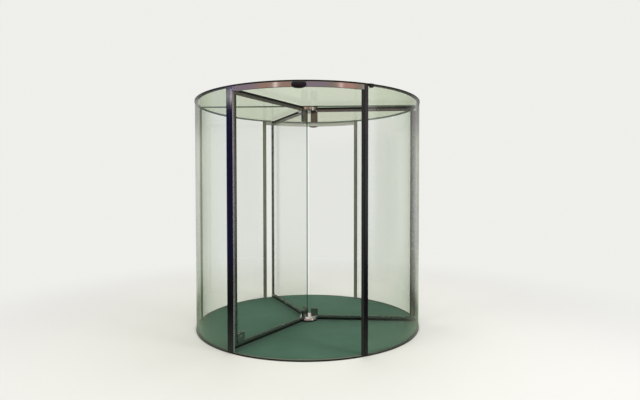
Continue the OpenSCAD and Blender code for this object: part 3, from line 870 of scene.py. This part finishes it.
def mat_top():
    """Top of the mat: level = top - sink (0.5 + 0.5 sin(37 d + 2 cos 3a)) away from the rims, where the
    level falls by the drop times exp(-distance from the rim / drop)."""
    share = np.linspace(0, 1, MAT_RINGS)
    distance = mat_limits.r0 + (mat_limits.r1 - mat_limits.r0) * share
    azimuth = np.linspace(0, FULL_TURN, MAT_ROUND, endpoint=False)
    d, a = np.meshgrid(distance, azimuth, indexing="ij")
    rim = np.minimum(d - mat_limits.r0, mat_limits.r1 - d)
    wave = MAT_SINK * (0.5 + 0.5 * np.sin(37 * d + 2 * np.cos(3 * a))) * np.clip(rim / RIM_FADE, 0, 1)
    return around(d, a, mat_limits.z1 - wave - RIM_DROP * np.exp(-rim / RIM_DROP))


top = mat_top()
inner_foot, outer_foot = top[:1].copy(), top[-1:].copy()
inner_foot[..., 2] = outer_foot[..., 2] = mat_limits.z0
mat_shape = grid_shape(np.concatenate([inner_foot, top, outer_foot]), wrap_rows=True, wrap_columns=True)
make_piece("floor_mat_felt", [mat_shape], mat_felt, "drum", ["floor_mat"])
print("mat", round(mat_limits.r1, 3), "m radius,", len(mat_shape["faces"]), "faces")

# %% [markdown]
# The hub is two turned discs with rolled rims, polished bright. A turner draws half the section and
# spins it, and so does this cell. The lower disc has a leaning flank and a tight rim, the upper one a
# nearly straight side that rolls over underneath. One fine groove runs round the flat face of each, as
# on a real turned cover.

# %% Hub discs and bearings
RIM_STEPS = 16
BASE_RIM = SimpleNamespace(across=0.004, down=0.12, lean=0.38)
CAP_RIM = SimpleNamespace(across=0.005, down=0.3, lean=0.0)
SIDE_UP_TO = 0.2
LIP = 0.0008
FINE_GROOVE = SimpleNamespace(inwards=0.026, half_width=0.0008, depth=0.0009)
HUB_SHARP = 32
PIN_EASE = 0.0005


def hub_section(limits, rim, flip):
    """Half section of a hub disc, from the axis out and back: lip, side, a quarter ellipse over the rim,
    fine groove. The rim's down and lean are shares of the height. flip turns the disc upside down."""
    height, groove = limits.height, FINE_GROOVE
    angle = np.linspace(0, math.pi / 2, RIM_STEPS)
    edge = limits.r1 - rim.lean * height
    side = [[limits.r1 - LIP, 0], [limits.r1, LIP], [limits.r1, SIDE_UP_TO * height]]
    rolled = np.stack([
        edge - rim.across * (1 - np.cos(angle)), height - rim.down * height * (1 - np.sin(angle)),
    ], 1)
    groove_line = [
        [limits.r1 - groove.inwards - k * groove.half_width, height - groove.depth * (k == 1)]
        for k in range(3)
    ]
    section = np.array([[0, 0], *side, *rolled, *groove_line, [0, height]])
    section[:, 1] = limits.z1 - section[:, 1] if flip else limits.z0 + section[:, 1]
    return section


hub_base = round_limits("hub_base")
hub_cap = round_limits("hub_cap")
discs = [("hub_base", hub_base, BASE_RIM, False), ("hub_cap", hub_cap, CAP_RIM, True)]
for node, limits, rim, flip in discs:
    disc = round_bar(hub_section(limits, rim, flip))
    make_piece(f"{node}_disc", [disc], turned, "wings", [node], HUB_SHARP)
for node in ["floor_bearing", "top_bearing"]:
    copy_piece(node, "turned", polished, "drum", PIN_EASE)
print("hub radii", round(hub_base.r1, 3), round(hub_cap.r1, 3))

# %% [markdown]
# Brushes seal the wings and the hub. They are black nylon bristles, dull, with streaks of colour that run
# along each bristle and a little grey dust between the tufts.

# %% Bristle finish
BRISTLE_DARK = (0.003, 0.003, 0.003)
BRISTLE_LIGHT = (0.012, 0.012, 0.011)
BRISTLE_DUST = (0.020, 0.019, 0.017)

bristle, add = new_finish("black_bristles")
strands = noise(add, place(add, (1600, 6, 1), by="UV"), 1.0, 2.0, 0.6)
dust = spread(add, noise(add, place(add), 55.0, 4.0), 0.0, 0.5, 0.5, 0.75)
dark = blend_colours(add, spread(add, strands, 0.0, 1.0, 0.35, 0.7), BRISTLE_DARK, BRISTLE_LIGHT)
dark = blend_colours(add, dust, dark, BRISTLE_DUST)
sheen = {"Sheen Weight": 0.04, "Sheen Roughness": 0.5, "Specular IOR Level": 0.2}
show(add, principled(add, dark, spread(add, strands, 0.55, 0.85), relief(add, strands, 0.0006, 0.9), sheen))
print("finish", bristle.name)

# %% [markdown]
# A strip of bristles is dense at the root, a little loose at the tip, and stands in tufts. Single bristles
# are too fine for a mesh, so the strip is a ribbed wall whose thickness swells and shrinks with every tuft
# and whose tip line wanders by half a millimetre.

# %% Brush strips
TUFT = 0.003
BRUSH_ROWS = 7
BRUSH_SLOT = 0.006
TUFT_SWELL = 0.20
TIP_THINNER = 0.34
TIP_WANDER = 0.0006
TUFTS_A_KNOT = 4


def brush_strip(start, along, out, through, length, reach, thickness, seed):
    """Strip of tufts. At distance s along it the half thickness is t (0.80 + 0.20 |sin(pi s / tuft)|) in
    the slot and a third less at the tip, and the tip falls short by up to 0.6 mm of smooth seeded noise."""
    tufts = int(length / TUFT)
    s = np.linspace(0, length, tufts * 2 + 1)
    swell = 1 - TUFT_SWELL + TUFT_SWELL * np.abs(np.sin(math.pi * s / (length / tufts)))
    random = np.random.default_rng(seed)
    knots = random.uniform(-1, 0, tufts // TUFTS_A_KNOT + 2)
    wander = np.interp(s, np.linspace(0, length, len(knots)), knots) * TIP_WANDER
    v = np.linspace(0, 1, BRUSH_ROWS)
    loose = 1 - TIP_THINNER * np.clip((v * reach - BRUSH_SLOT) / (reach - BRUSH_SLOT), 0, 1)
    half = thickness / 2 * swell[:, None] * loose
    height = v * (reach + wander[:, None])
    flat = np.stack([
        np.concatenate([half, -half[:, ::-1]], 1), np.concatenate([height, height[:, ::-1]], 1),
    ], 2)
    points = start + s[:, None, None] * along + flat[:, :, 1:] * out + flat[:, :, :1] * through
    return cap_ends(grid_shape(points, wrap_columns=True), flat[0], flat[-1])


print("a wing brush has a tuft every", TUFT * 1000, "mm")

# %% [markdown]
# Three strips go on each wing: over the top rail, under the bottom rail and along the stile. Their reach
# comes from the frame's brush node. The strips on the rails start beside the hub discs, and each is
# rooted in a slot of its bar.

# %% Wing brushes
HUB_GAP = 0.001
TIP_CLEARANCE = 0.006
for number, (w, azimuth) in enumerate(wing_azimuth.items()):
    out, through = wing_axes(azimuth)
    low, high = wing_limits(f"wing_{w}_brushes", azimuth)
    rail_low, rail_high = wing_limits(f"wing_{w}_bottom_rail", azimuth)
    head_low, head_high = wing_limits(f"wing_{w}_top_rail", azimuth)
    top_start, base_start = hub_cap.r1 + HUB_GAP, hub_base.r1 + HUB_GAP
    top_end = crown.r0 - TIP_CLEARANCE
    between_rails = head_low[2] - rail_high[2]
    runs = [
        (top_start, head_high[2] - BRUSH_SLOT, out, UP, top_end - top_start, high[2] - head_high[2]),
        (base_start, rail_low[2] + BRUSH_SLOT, out, -UP, high[0] - base_start, rail_low[2] - low[2]),
        (rail_high[0] - BRUSH_SLOT, rail_high[2], UP, out, between_rails, high[0] - rail_high[0]),
    ]
    strips = [
        brush_strip(
            distance * out + level * UP, along, towards, through, length, proud + BRUSH_SLOT,
            high[1] - low[1], len(runs) * number + k,
        )
        for k, (distance, level, along, towards, length, proud) in enumerate(runs)
    ]
    node = f"wing_{w}_brushes"
    made = make_piece(f"{node}_bristles", strips, bristle, "wings", [node])
    print(node, len(made.data.polygons), "faces")

# %% [markdown]
# The seals of the hub are the same bristles in a ring, short and thick. They close the gaps to the mat and
# to the ceiling. A ring of tufts is the same ribbed wall, bent round the axis.

# %% Hub seals
SEAL_SWELL = 0.0004
SEAL_EASE = 0.0008
HALF_WAY_UP = 1.0


def seal_ring(r0, r1, z0, z1):
    """Ring of tufts: both walls draw in by 0.4 mm at every second station."""
    count = 2 * int(FULL_TURN * r1 / TUFT)
    azimuth = np.linspace(0, FULL_TURN, count, endpoint=False)[:, None]
    swell = SEAL_SWELL * (np.arange(count) % 2)[:, None]
    profile = eased(box_outline(r0, r1, z0, z1), SEAL_EASE)
    inwards = np.where(profile[:, 0] > (r0 + r1) / 2, -1.0, 1.0)
    points = around(profile[:, 0] + swell * inwards, azimuth, profile[:, 1])
    return grid_shape(points, wrap_rows=True, wrap_columns=True)


seal_points = points_of("hub_seals")
seals = []
for chosen in (seal_points[:, 2] < HALF_WAY_UP, seal_points[:, 2] > HALF_WAY_UP):
    distance = np.hypot(seal_points[chosen, 0], seal_points[chosen, 1])
    levels = seal_points[chosen, 2]
    seals.append(seal_ring(distance.min(), distance.max(), levels.min(), levels.max()))
make_piece("hub_seal_bristles", seals, bristle, "wings", ["hub_seals"])
print("hub seals", len(seals))

# %% [markdown]
# Rails and stiles are satin aluminium extrusions, brushed along their length. The grain has to
# run along the bar, so each wing's rails have a material turned to that wing, and the stiles
# share one with upright grain.

# %% Rails and stiles
for w in WINGS:
    bars = {"top_rail": rail_grain[w], "bottom_rail": rail_grain[w], "stile": upright_grain}
    for bar, finish in bars.items():
        copy_piece(f"wing_{w}_{bar}", "bar", finish, "wings")
print("rails and stiles for", len(WINGS), "wings")

# %% [markdown]
# Beside the front left post runs a cover strip. Its outer face carries on the black of the post, and its
# reveal, the side towards the entrance, is pale anodised aluminium, whose pale mauve tone is partly painted
# reflection.

# %% Cover strip
aside = wing_axes(round_limits("front_left_post").middle)[1]
strip = copy_piece("post_cover", "strip", post_black, "drum")
print("cover strip, reveal faces", refinish(strip, reveal_painted_reflection, facing(aside)))

# %% [markdown]
# The clamps that hold the wing glass on the hub, and the lock in the lower corner of one wing, are
# plates with rounded corners.

# %% Clamps and lock
CLAMPS = ["lower_clamps", "upper_clamps"]
CLAMP_EASE = 0.001
LOCK_EASE = 0.003
for node in CLAMPS:
    copy_piece(node, "plates", plate_metal, "wings", CLAMP_EASE)
copy_piece("leaf_lock", "plates", polished, "wings", LOCK_EASE)
print("clamp sets", len(CLAMPS), "and 1 lock")

# %% [markdown]
# A hexagon socket screw sits near each end of a clamp plate, on both sides of the glass. Its head is a
# short section of radii and levels spun in twelve steps, whose two inner rows are pulled onto a hexagon.

# %% Clamp screws
SCREW_RADIUS = 0.006
SCREW_STEPS = 12
SCREW_RADII = np.array([1.0, 0.92, 0.55, 0.50, 0.50])
SCREW_LEVELS = np.array([0.0, 0.22, 0.26, 0.24, 0.02])
SOCKET_FROM = 3
SCREW_SHARES = (0.18, 0.82)
SCREW_SHARP = 30


def screw_head(centre, out, side):
    """Low round head that looks along out, with a hexagon socket. The socket's rows are cut back by
    cos(30) / cos(angle from the middle of the flat)."""
    sixth = math.pi / 3
    angle = np.linspace(0, FULL_TURN, SCREW_STEPS, endpoint=False)
    hexagon = math.cos(sixth / 2) / np.cos((angle + sixth / 2) % sixth - sixth / 2)
    in_socket = np.arange(len(SCREW_RADII))[:, None] >= SOCKET_FROM
    reach = SCREW_RADIUS * SCREW_RADII[:, None] * np.where(in_socket, hexagon, 1.0)
    spoke = np.cos(angle)[:, None] * side + np.sin(angle)[:, None] * np.cross(out, side)
    points = centre + reach[:, :, None] * spoke + (SCREW_RADIUS * SCREW_LEVELS)[:, None, None] * out
    plain = np.zeros((SCREW_STEPS, 2))
    return cap_ends(grid_shape(points, wrap_columns=True), plain, plain)


def plate_face(node, azimuth, from_axis):
    """How far the outer face of a plate on one wing lies from the plane of its glass."""
    out, through = wing_axes(azimuth)
    points = points_of(node)
    return np.abs((points @ through)[points @ out > from_axis]).max()


clamp = round_limits("lower_clamps")
clamp_middle = (clamp.r0 + clamp.r1) / 2
clamp_face = plate_face("lower_clamps", wing_azimuth["a"], clamp_middle)
screws = []
for node in CLAMPS:
    limits = round_limits(node)
    for azimuth in wing_azimuth.values():
        out, through = wing_axes(azimuth)
        for share in SCREW_SHARES:
            level = limits.z0 + share * limits.height
            for side in (-1, 1):
                middle = clamp_middle * out + side * clamp_face * through + level * UP
                screws.append(screw_head(middle, side * through, out))
make_piece("clamp_screws", screws, polished, "wings", sharp=SCREW_SHARP)
print("screws", len(screws))

# %% [markdown]
# The safety edge on the right-hand post is black rubber, matt and a little dusty. The same recipe, with
# other tones, makes the grey sealant of the wall glass and the painted shadow inside a keyhole.

# %% Rubber and safety edge
RUBBER_EASE = 0.0008


def soft_matt(name, colour, rough, relief_depth, relief_scale):
    """Matt rubber or sealant with dust in it, and with a near-black tone the painted shadow of a keyhole."""
    material, add = new_finish(name)
    at = place(add)
    dust = spread(add, noise(add, at, 45.0, 8.0, 0.7), 0.0, 0.5, 0.5, 0.8)
    base = blend_colours(add, dust, colour, shade(colour, 2.6, 0.01))
    bump = relief(add, noise(add, at, relief_scale), relief_depth)
    dull = spread(add, noise(add, at, 130.0), *rough)
    show(add, principled(add, base, dull, bump, {"Specular IOR Level": 0.4}))
    return material


rubber = soft_matt("safety_rubber", (0.012, 0.012, 0.012), (0.5, 0.75), 0.0001, 260.0)
sealant = soft_matt("grey_sealant", (0.11, 0.115, 0.10), (0.35, 0.55), 0.00005, 500.0)
# painted shadow: near-black matt tone for the shade inside a keyhole
keyhole_painted_shadow = soft_matt("keyhole_shadow", (0.004, 0.004, 0.004), (0.6, 0.8), 0.00002, 300.0)
copy_piece("safety_edge", "rubber", rubber, "drum", RUBBER_EASE)
print("finishes", rubber.name, sealant.name, keyhole_painted_shadow.name)

# %% [markdown]
# A black glazing gasket runs along each stile where the glass enters it, on both faces. It is a flat lip, a
# little proud of the metal.

# %% Glazing gaskets
GASKET_WIDTH = 0.010
GASKET_PROUD = 0.0008
gasket_profile = eased(box_outline(0, GASKET_WIDTH, 0, GASKET_PROUD), GASKET_PROUD / 3)
for w, azimuth in wing_azimuth.items():
    out, through = wing_axes(azimuth)
    stile_low, stile_high = wing_limits(f"wing_{w}_stile", azimuth)
    bottom = wing_limits(f"wing_{w}_bottom_rail", azimuth)[1][2]
    length = wing_limits(f"wing_{w}_top_rail", azimuth)[0][2] - bottom
    lips = []
    for side in (-1, 1):
        start = stile_low[0] * out + side * stile_high[1] * through + bottom * UP
        lips.append(straight_bar(gasket_profile, start, UP, out, side * through, length))
    make_piece(f"wing_{w}_glazing_gasket", lips, rubber, "wings")
print("gaskets", 2 * len(wing_azimuth))

# %% [markdown]
# Beads of grey sealant close the joint between the wall glass and the two rings, inside and out. Each is a
# three-sided bar, two millimetres wide, that leans on the glass.

# %% Sealant beads
BEAD = 0.002
BEAD_SHORT = 0.004
beads = []
for limits in panes.values():
    for level, lift in [(ring.z1, BEAD), (crown.z0, -BEAD)]:
        for face, away in [(limits.r0, -BEAD), (limits.r1, BEAD)]:
            corner = np.array([[face, level], [face + away, level], [face, level + lift]])
            beads.append(round_bar(corner, limits.a0 + BEAD_SHORT, limits.a1 - BEAD_SHORT))
make_piece("wall_glass_sealant", beads, sealant, "drum")
print("sealant beads", len(beads))

# %% [markdown]
# The sensors are moulded plastic. The shell is black with a satin surface, and the window in its front is a
# smoother, deeper black through which infrared light passes.

# %% Sensor plastics
def moulded(name, colour, rough, coat):
    """Moulded plastic with a fine spark texture."""
    material, add = new_finish(name)
    at = place(add)
    base = blend_colours(add, noise(add, at, 18.0, 6.0), colour, shade(colour, 1.7, 0.003))
    bump = relief(add, noise(add, at, 1500.0), 0.00003)
    gloss = {"Coat Weight": coat, "Coat Roughness": 0.04, "Specular IOR Level": 0.15}
    show(add, principled(add, base, spread(add, noise(add, at, 90.0, 6.0), *rough), bump, gloss))
    return material


sensor_shell = moulded("sensor_black_shell", (0.005, 0.005, 0.006), (0.24, 0.38), 0.05)
sensor_window = moulded("sensor_dark_window", (0.008, 0.003, 0.005), (0.08, 0.14), 0.12)
print("finishes", sensor_shell.name, sensor_window.name)

# %% [markdown]
# The motion sensors over the entrances are pods. Their outline is a superellipse, boxier above than
# below, and the front swells out like a pillow. The pod is worked out flat, as distance across and
# height, and then wrapped round the header by turning distance across into azimuth. The small safety
# sensor is the same shape, boxier.

# %% Sensor pods
POD_COLUMNS = 64
POD_ROWS = 17
BELOW_POWER = 2.3
# Powers of the outline above the middle and of the front
SHELL_POWERS = (5.0, 2.8)
WINDOW_POWERS = (3.0, 4.0)
CASE_POWERS = (7.0, 7.0)
POD_BACK = 0.003
WINDOW_DROP = 0.004
WINDOW_LIFT = 0.011
WINDOW_SHARE = 0.62
WINDOW_PROUD = 0.0005
POD_SHARP = 60


def pod(limits, width, depth, powers, share=1.0, drop=0.0, lift=0.0):
    """Pod on the drum, with powers (n, p). Its outline is |x/a|^n + |z/b|^n = 1 above the middle and the
    same with n = 2.3 below it, and share makes it smaller. With t from 0 at the rim to 90 degrees at the
    front, it shrinks by cos(t)^(2/p) and stands out by lift + depth sin(t)^(2/p)."""
    above_power, front_power = powers
    angle = np.linspace(0, FULL_TURN, POD_COLUMNS, endpoint=False)
    t = np.linspace(0, math.pi / 2, POD_ROWS)[:, None]
    power = np.where(np.sin(angle) >= 0, above_power, BELOW_POWER)
    x = np.sign(np.cos(angle)) * np.abs(np.cos(angle)) ** (2 / power) * width / 2 * share
    z = np.sign(np.sin(angle)) * np.abs(np.sin(angle)) ** (2 / power) * limits.height / 2 * share
    shrink = np.cos(t) ** (2 / front_power)
    distance = ring.r1 + depth * np.sin(t) ** (2 / front_power) + lift
    points = around(distance, limits.middle + shrink * x / ring.r1, limits.level - drop + shrink * z)
    return add_cap(grid_shape(points, wrap_columns=True), range(POD_COLUMNS), np.stack([x, z], 1))


for node in ["front_sensor", "rear_sensor"]:
    limits = round_limits(node)
    width = 2 * limits.r1 * math.sin((limits.a1 - limits.a0) / 2)
    depth = limits.r1 - ring.r1 - POD_BACK
    window_depth = depth - WINDOW_LIFT + WINDOW_PROUD
    shell = pod(limits, width, depth, SHELL_POWERS)
    window = pod(limits, width, window_depth, WINDOW_POWERS, WINDOW_SHARE, WINDOW_DROP, WINDOW_LIFT)
    make_piece(f"{node}_pod", [shell], sensor_shell, "drum", [node], POD_SHARP)
    make_piece(f"{node}_window", [window], sensor_window, "drum", sharp=POD_SHARP)
    print(node, round(width, 3), "m wide,", round(depth, 3), "m deep")
limits = round_limits("safety_sensor")
case = pod(limits, (limits.a1 - limits.a0) * ring.r1, limits.r1 - ring.r1, CASE_POWERS)
make_piece(
    "safety_sensor_case", [case], sensor_shell, "drum", ["safety_sensor"], POD_SHARP,
)
print("safety sensor", round(limits.height, 3), "m high")

# %% [markdown]
# The lock has a profile cylinder on both faces, with a keyhole. The hole is a small inlaid plate of painted
# shadow, because a real one is a slot too deep to see into, dark with shade.

# %% Keyholes
KEYHOLE = (0.0024, 0.011)
KEYHOLE_EASE = 0.0008
KEYHOLE_SUNK = 0.0002
KEYHOLE_THICK = 0.0004
out, through = wing_axes(wing_azimuth["a"])
lock_low, lock_high = wing_limits("leaf_lock", wing_azimuth["a"])
lock_middle = (lock_low + lock_high) / 2
half_wide, half_high = KEYHOLE[0] / 2, KEYHOLE[1] / 2
key_profile = eased(box_outline(-half_wide, half_wide, -half_high, half_high), KEYHOLE_EASE)
keyholes = []
for side in (-1, 1):
    face = side * (abs(lock_high[1]) - KEYHOLE_SUNK)
    start = lock_middle[0] * out + face * through + lock_middle[2] * UP
    keyholes.append(straight_bar(key_profile, start, side * through, out, UP, KEYHOLE_THICK))
make_piece("leaf_lock_keyhole_shadow_plates", keyholes, keyhole_painted_shadow, "wings")
print("keyholes", len(keyholes))

# %% [markdown]
# The studio is plain: a pale floor that melts into a pale background. The background belongs to
# camera, mirror and glass rays alone, so it can be bright without adding light. All other rays
# meet an even, weaker light.

# %% Background
BACKGROUND = (0.86, 0.86, 0.835)
AMBIENT = 0.62
AMBIENT_COLOUR = (1.0, 0.985, 0.96)

world = bpy.data.worlds.new("studio")
bpy.context.scene.world = world
world.use_nodes = True
add = node_writer(world.node_tree)
rays = add("LightPath").node.outputs
looking = calc(add, "ADD", rays["Is Camera Ray"], rays["Is Glossy Ray"])
looking = add("Math", {"operation": "ADD", "use_clamp": True}, {0: looking, 1: rays["Is Transmission Ray"]})
soft = add("Background", inputs={"Color": AMBIENT_COLOUR, "Strength": AMBIENT})
backdrop = add("Background", inputs={"Color": BACKGROUND, "Strength": 1.0})
add("OutputWorld", inputs={"Surface": add("MixShader", inputs={0: looking, 1: soft, 2: backdrop})})
print("background", BACKGROUND, "ambient", AMBIENT)

# %% [markdown]
# The floor's paint fades into the background's colour with distance, so that no horizon shows. Mirrors
# don't see the floor, because its brightness would drown the reflections.

# %% Studio floor
FLOOR_NEAR = 1.5
FLOOR_FAR = 4.8
FLOOR_HALF = 60.0
FLOOR_COLOUR = (0.70, 0.69, 0.66)


def stage_grid(name, points, finish, unseen_by):
    """Grid that stands about the door and isn't part of it. unseen_by names the rays that miss it."""
    shape = grid_shape(points)
    mesh = bpy.data.meshes.new(name)
    mesh.from_pydata(shape["points"].tolist(), [], shape["faces"])
    mesh.materials.append(finish)
    made = new_object(name, mesh)
    for ray in unseen_by:
        setattr(made, "visible_" + ray, False)
    return made


floor_paint, add = new_finish("pale_studio_floor")
away = add("VectorMath", {"operation": "LENGTH"}, {0: place(add)}, out="Value")
melting = {"interpolation_type": "SMOOTHSTEP"}
fade = add("MapRange", melting, {0: away, 1: FLOOR_NEAR, 2: FLOOR_FAR, 3: 0.0, 4: 1.0})
matt = {"Base Color": FLOOR_COLOUR, "Roughness": 0.55, "Specular IOR Level": 0.25}
paint = add("BsdfPrincipled", inputs=matt)
haze = add("Emission", inputs={"Color": BACKGROUND, "Strength": 1.0})
show(add, add("MixShader", inputs={0: fade, 1: paint, 2: haze}))

x, y = np.meshgrid([-FLOOR_HALF, FLOOR_HALF], [-FLOOR_HALF, FLOOR_HALF])
floor = stage_grid("studio_floor", np.stack([x, y, np.zeros_like(x)], 2), floor_paint, ["glossy"])
print("floor", floor.name, "is missed by mirrors")

# %% [markdown]
# One large soft lamp stands at the front left, a weaker one at the right and a wide one overhead. They are
# kept out of mirrors as well: what mirrors show is left to the screen of the next step.

# %% Lamps
def lamp(name, place_at, aim, size, power, colour=(1, 1, 1)):
    """Large soft area lamp that looks at a point."""
    data = bpy.data.lights.new(name, "AREA")
    data.shape = "RECTANGLE"
    data.size, data.size_y = size
    data.energy = power
    data.color = colour
    light = new_object(name, data)
    direction = np.asarray(aim, float) - np.asarray(place_at, float)
    flat = math.hypot(direction[0], direction[1])
    light.visible_glossy = False
    light.location = place_at
    light.rotation_euler = (math.atan2(flat, -direction[2]), 0, math.atan2(-direction[0], direction[1]))
    return light


lamps = [
    lamp("key_left", (-4.2, -4.6, 4.4), (0, 0, 1.0), (2.6, 3.2), 215, (1.0, 0.98, 0.95)),
    lamp("fill_right", (4.8, -3.4, 3.0), (0, 0, 1.1), (2.0, 3.4), 190, (0.96, 0.98, 1.0)),
    lamp("overhead", (0.4, 1.5, 5.6), (0, 0, 0), (4.5, 4.5), 170),
]
print("lamps", [light.name for light in lamps])

# %% [markdown]
# Chrome and black lacquer show nothing but what they mirror, so a studio sets screens about them for
# contrast. This screen is round, and only mirrors see it. Its front is nearly black below and goes through
# mauve, brown, olive and rose above. At its far left it is navy, with a bright blue patch high up. Its rear
# is a middling green grey, darker above. The ground inside it is grey green at the door, and from there it
# grows darker towards the front and paler towards the rear.

# %% Screen tones
DARK = (0.045, 0.042, 0.046)
NAVY = (0.06, 0.06, 0.40)
GREY_MAUVE = (0.125, 0.110, 0.120)
BLUE = (0.24, 0.17, 1.20)
MAUVE = (0.41, 0.33, 0.41)
BROWN = (0.56, 0.37, 0.30)
OLIVE = (0.39, 0.35, 0.28)
ROSE = (0.74, 0.43, 0.37)
REAR_TONE = (0.30, 0.31, 0.27)
REAR_ABOVE = (0.12, 0.12, 0.11)
# Tones of the lower and upper band of its front, by bearing in degrees
LOWER_TONES = {-90: DARK, -82: NAVY, -69: NAVY, -67: GREY_MAUVE, -62: GREY_MAUVE, -58: DARK, 90: DARK}
UPPER_TONES = {
    -90: NAVY, -69: NAVY, -66: GREY_MAUVE, -64: MAUVE, -46: MAUVE, -37: BROWN, -9: BROWN, 0: MAUVE,
    16: MAUVE, 26: OLIVE, 31: ROSE, 42: ROSE, 50: OLIVE, 90: OLIVE,
}
# Tones of the ground at the front and at the rear, by distance from the axis in metres
FRONT_GROUND = {1.203: (0.28, 0.33, 0.25), 1.7: (0.18, 0.20, 0.15), 2.6: DARK}
REAR_GROUND = {1.203: (0.28, 0.33, 0.25), 1.7: (0.40, 0.43, 0.35), 2.6: (0.56, 0.58, 0.50)}
# Stretches in which one tone gives way to another: levels in metres, bearings in degrees
UPPER_STARTS, UPPER_ENDS = (2.5, 3.1), (4.5, 5.0)
BLUE_RIGHT, BLUE_LEFT, BLUE_STARTS = (64, 67), (76, 80), (3.75, 3.95)
REAR_TURN, REAR_DARKENS = (86, 100), (2.6, 3.3)
GROUND_TURN = (100, 125)
print("tones of the front", len(LOWER_TONES), "below and", len(UPPER_TONES), "above")

# %% [markdown]
# A few soft lights on the screen give posts, stiles and glass their bright strips. Each is a bell curve in
# bearing and level, added to the tone behind it.

# %% Lights on the screen
GLOW = np.array([0.95, 0.92, 0.92])
# Bearing, level, half width in degrees, half height in metres and strength
LIGHTS = [
    (-70.6, 3.62, 0.9, 0.15, 18.0), (61, 2.0, 6.0, 2.2, 1.5), (-24, 3.8, 1.8, 0.7, 1.1),
    (32, 3.8, 1.5, 0.7, 0.7), (180, 2.3, 16.0, 0.5, 0.5), (-134, 1.6, 14.0, 3.6, 0.55),
    (134, 1.6, 14.0, 3.6, 0.60), (105, 1.2, 8.0, 1.7, 0.12),
]


def rise(value, low, high):
    """0 below low, 1 above high and the smooth step s s (3 - 2 s) between."""
    s = np.clip((value - low) / (high - low), 0, 1)
    return s * s * (3 - 2 * s)


def mixed(first, second, share):
    """Tone that goes from first to second while share goes from 0 to 1."""
    share = share[..., None]
    return np.asarray(first) * (1 - share) + np.asarray(second) * share


def tone_at(bearing, table):
    """Tone at a bearing, straight between the bearings of the table."""
    tones = np.array(list(table.values()))
    return np.stack([np.interp(bearing, list(table), tones[:, channel]) for channel in range(3)], -1)


def screen_colour(bearing, level):
    """Colour of the screen. bearing is in degrees from the front. Each light adds its strength times
    exp(-(bearing off / width)^2 - (level off / height)^2)."""
    upper = rise(level, *UPPER_STARTS) * (1 - rise(level, *UPPER_ENDS))
    blue = rise(-bearing, *BLUE_RIGHT) * (1 - rise(-bearing, *BLUE_LEFT)) * rise(level, *BLUE_STARTS)
    front = mixed(tone_at(bearing, LOWER_TONES), tone_at(bearing, UPPER_TONES), upper)
    front = mixed(front, BLUE, blue)
    rear = mixed(REAR_TONE, REAR_ABOVE, rise(level, *REAR_DARKENS))
    colour = mixed(front, rear, rise(np.abs(bearing), *REAR_TURN))
    for middle, centre, width, height, strength in LIGHTS:
        off = (bearing - middle + 180) % 360 - 180
        glow = strength * np.exp(-(off / width) ** 2 - ((level - centre) / height) ** 2)
        colour = colour + glow[..., None] * GLOW
    return colour


print("lights on the screen", len(LIGHTS))

# %% [markdown]
# The screen is one grid of bearings and levels, with its tones as a colour attribute. Its lowest rows are
# rings on the ground, which lead from the door's edge out to the wall.

# %% Screen
SCREEN_RADIUS = 7.5
SCREEN_HEIGHT = 5.2
SCREEN_COLUMNS = 721
SCREEN_ROWS = 100
FIRST_LEVEL = 0.05

rings = len(FRONT_GROUND)
levels = np.concatenate([np.zeros(rings + 1), np.linspace(FIRST_LEVEL, SCREEN_HEIGHT, SCREEN_ROWS)])
bearing, level = np.meshgrid(np.linspace(-180, 180, SCREEN_COLUMNS), levels, indexing="ij")
distance = np.full(level.shape, SCREEN_RADIUS)
distance[:, :rings] = list(FRONT_GROUND)
colours = screen_colour(bearing, level)
rear_share = rise(np.abs(bearing[:, :rings]), *GROUND_TURN)
colours[:, :rings] = mixed(list(FRONT_GROUND.values()), list(REAR_GROUND.values()), rear_share)

screen_paint, add = new_finish("studio_screen_paint")
show(add, add("Emission", inputs={"Color": add("Attribute", {"attribute_name": "tones"}), "Strength": 1.0}))
screen_points = around(distance, np.radians(bearing) - math.pi / 2, level)
unseen_by = ["camera", "diffuse", "transmission", "shadow"]
screen = stage_grid("studio_screen", screen_points, screen_paint, unseen_by)
tones = screen.data.color_attributes.new("tones", "FLOAT_COLOR", "POINT")
tones.data.foreach_set("color", np.concatenate([colours, np.ones_like(colours[..., :1])], -1).ravel())
print("screen of", bearing.size, "points")

# %% [markdown]
# The Standard view transform shows a colour about as it is written. A look through the drum crosses many
# thin panes, so the number of transparent surfaces that a ray may pass is raised.

# %% View
scene = bpy.context.scene
scene.view_settings.view_transform = "Standard"
scene.cycles.transparent_max_bounces = 48
print("view", scene.view_settings.view_transform)
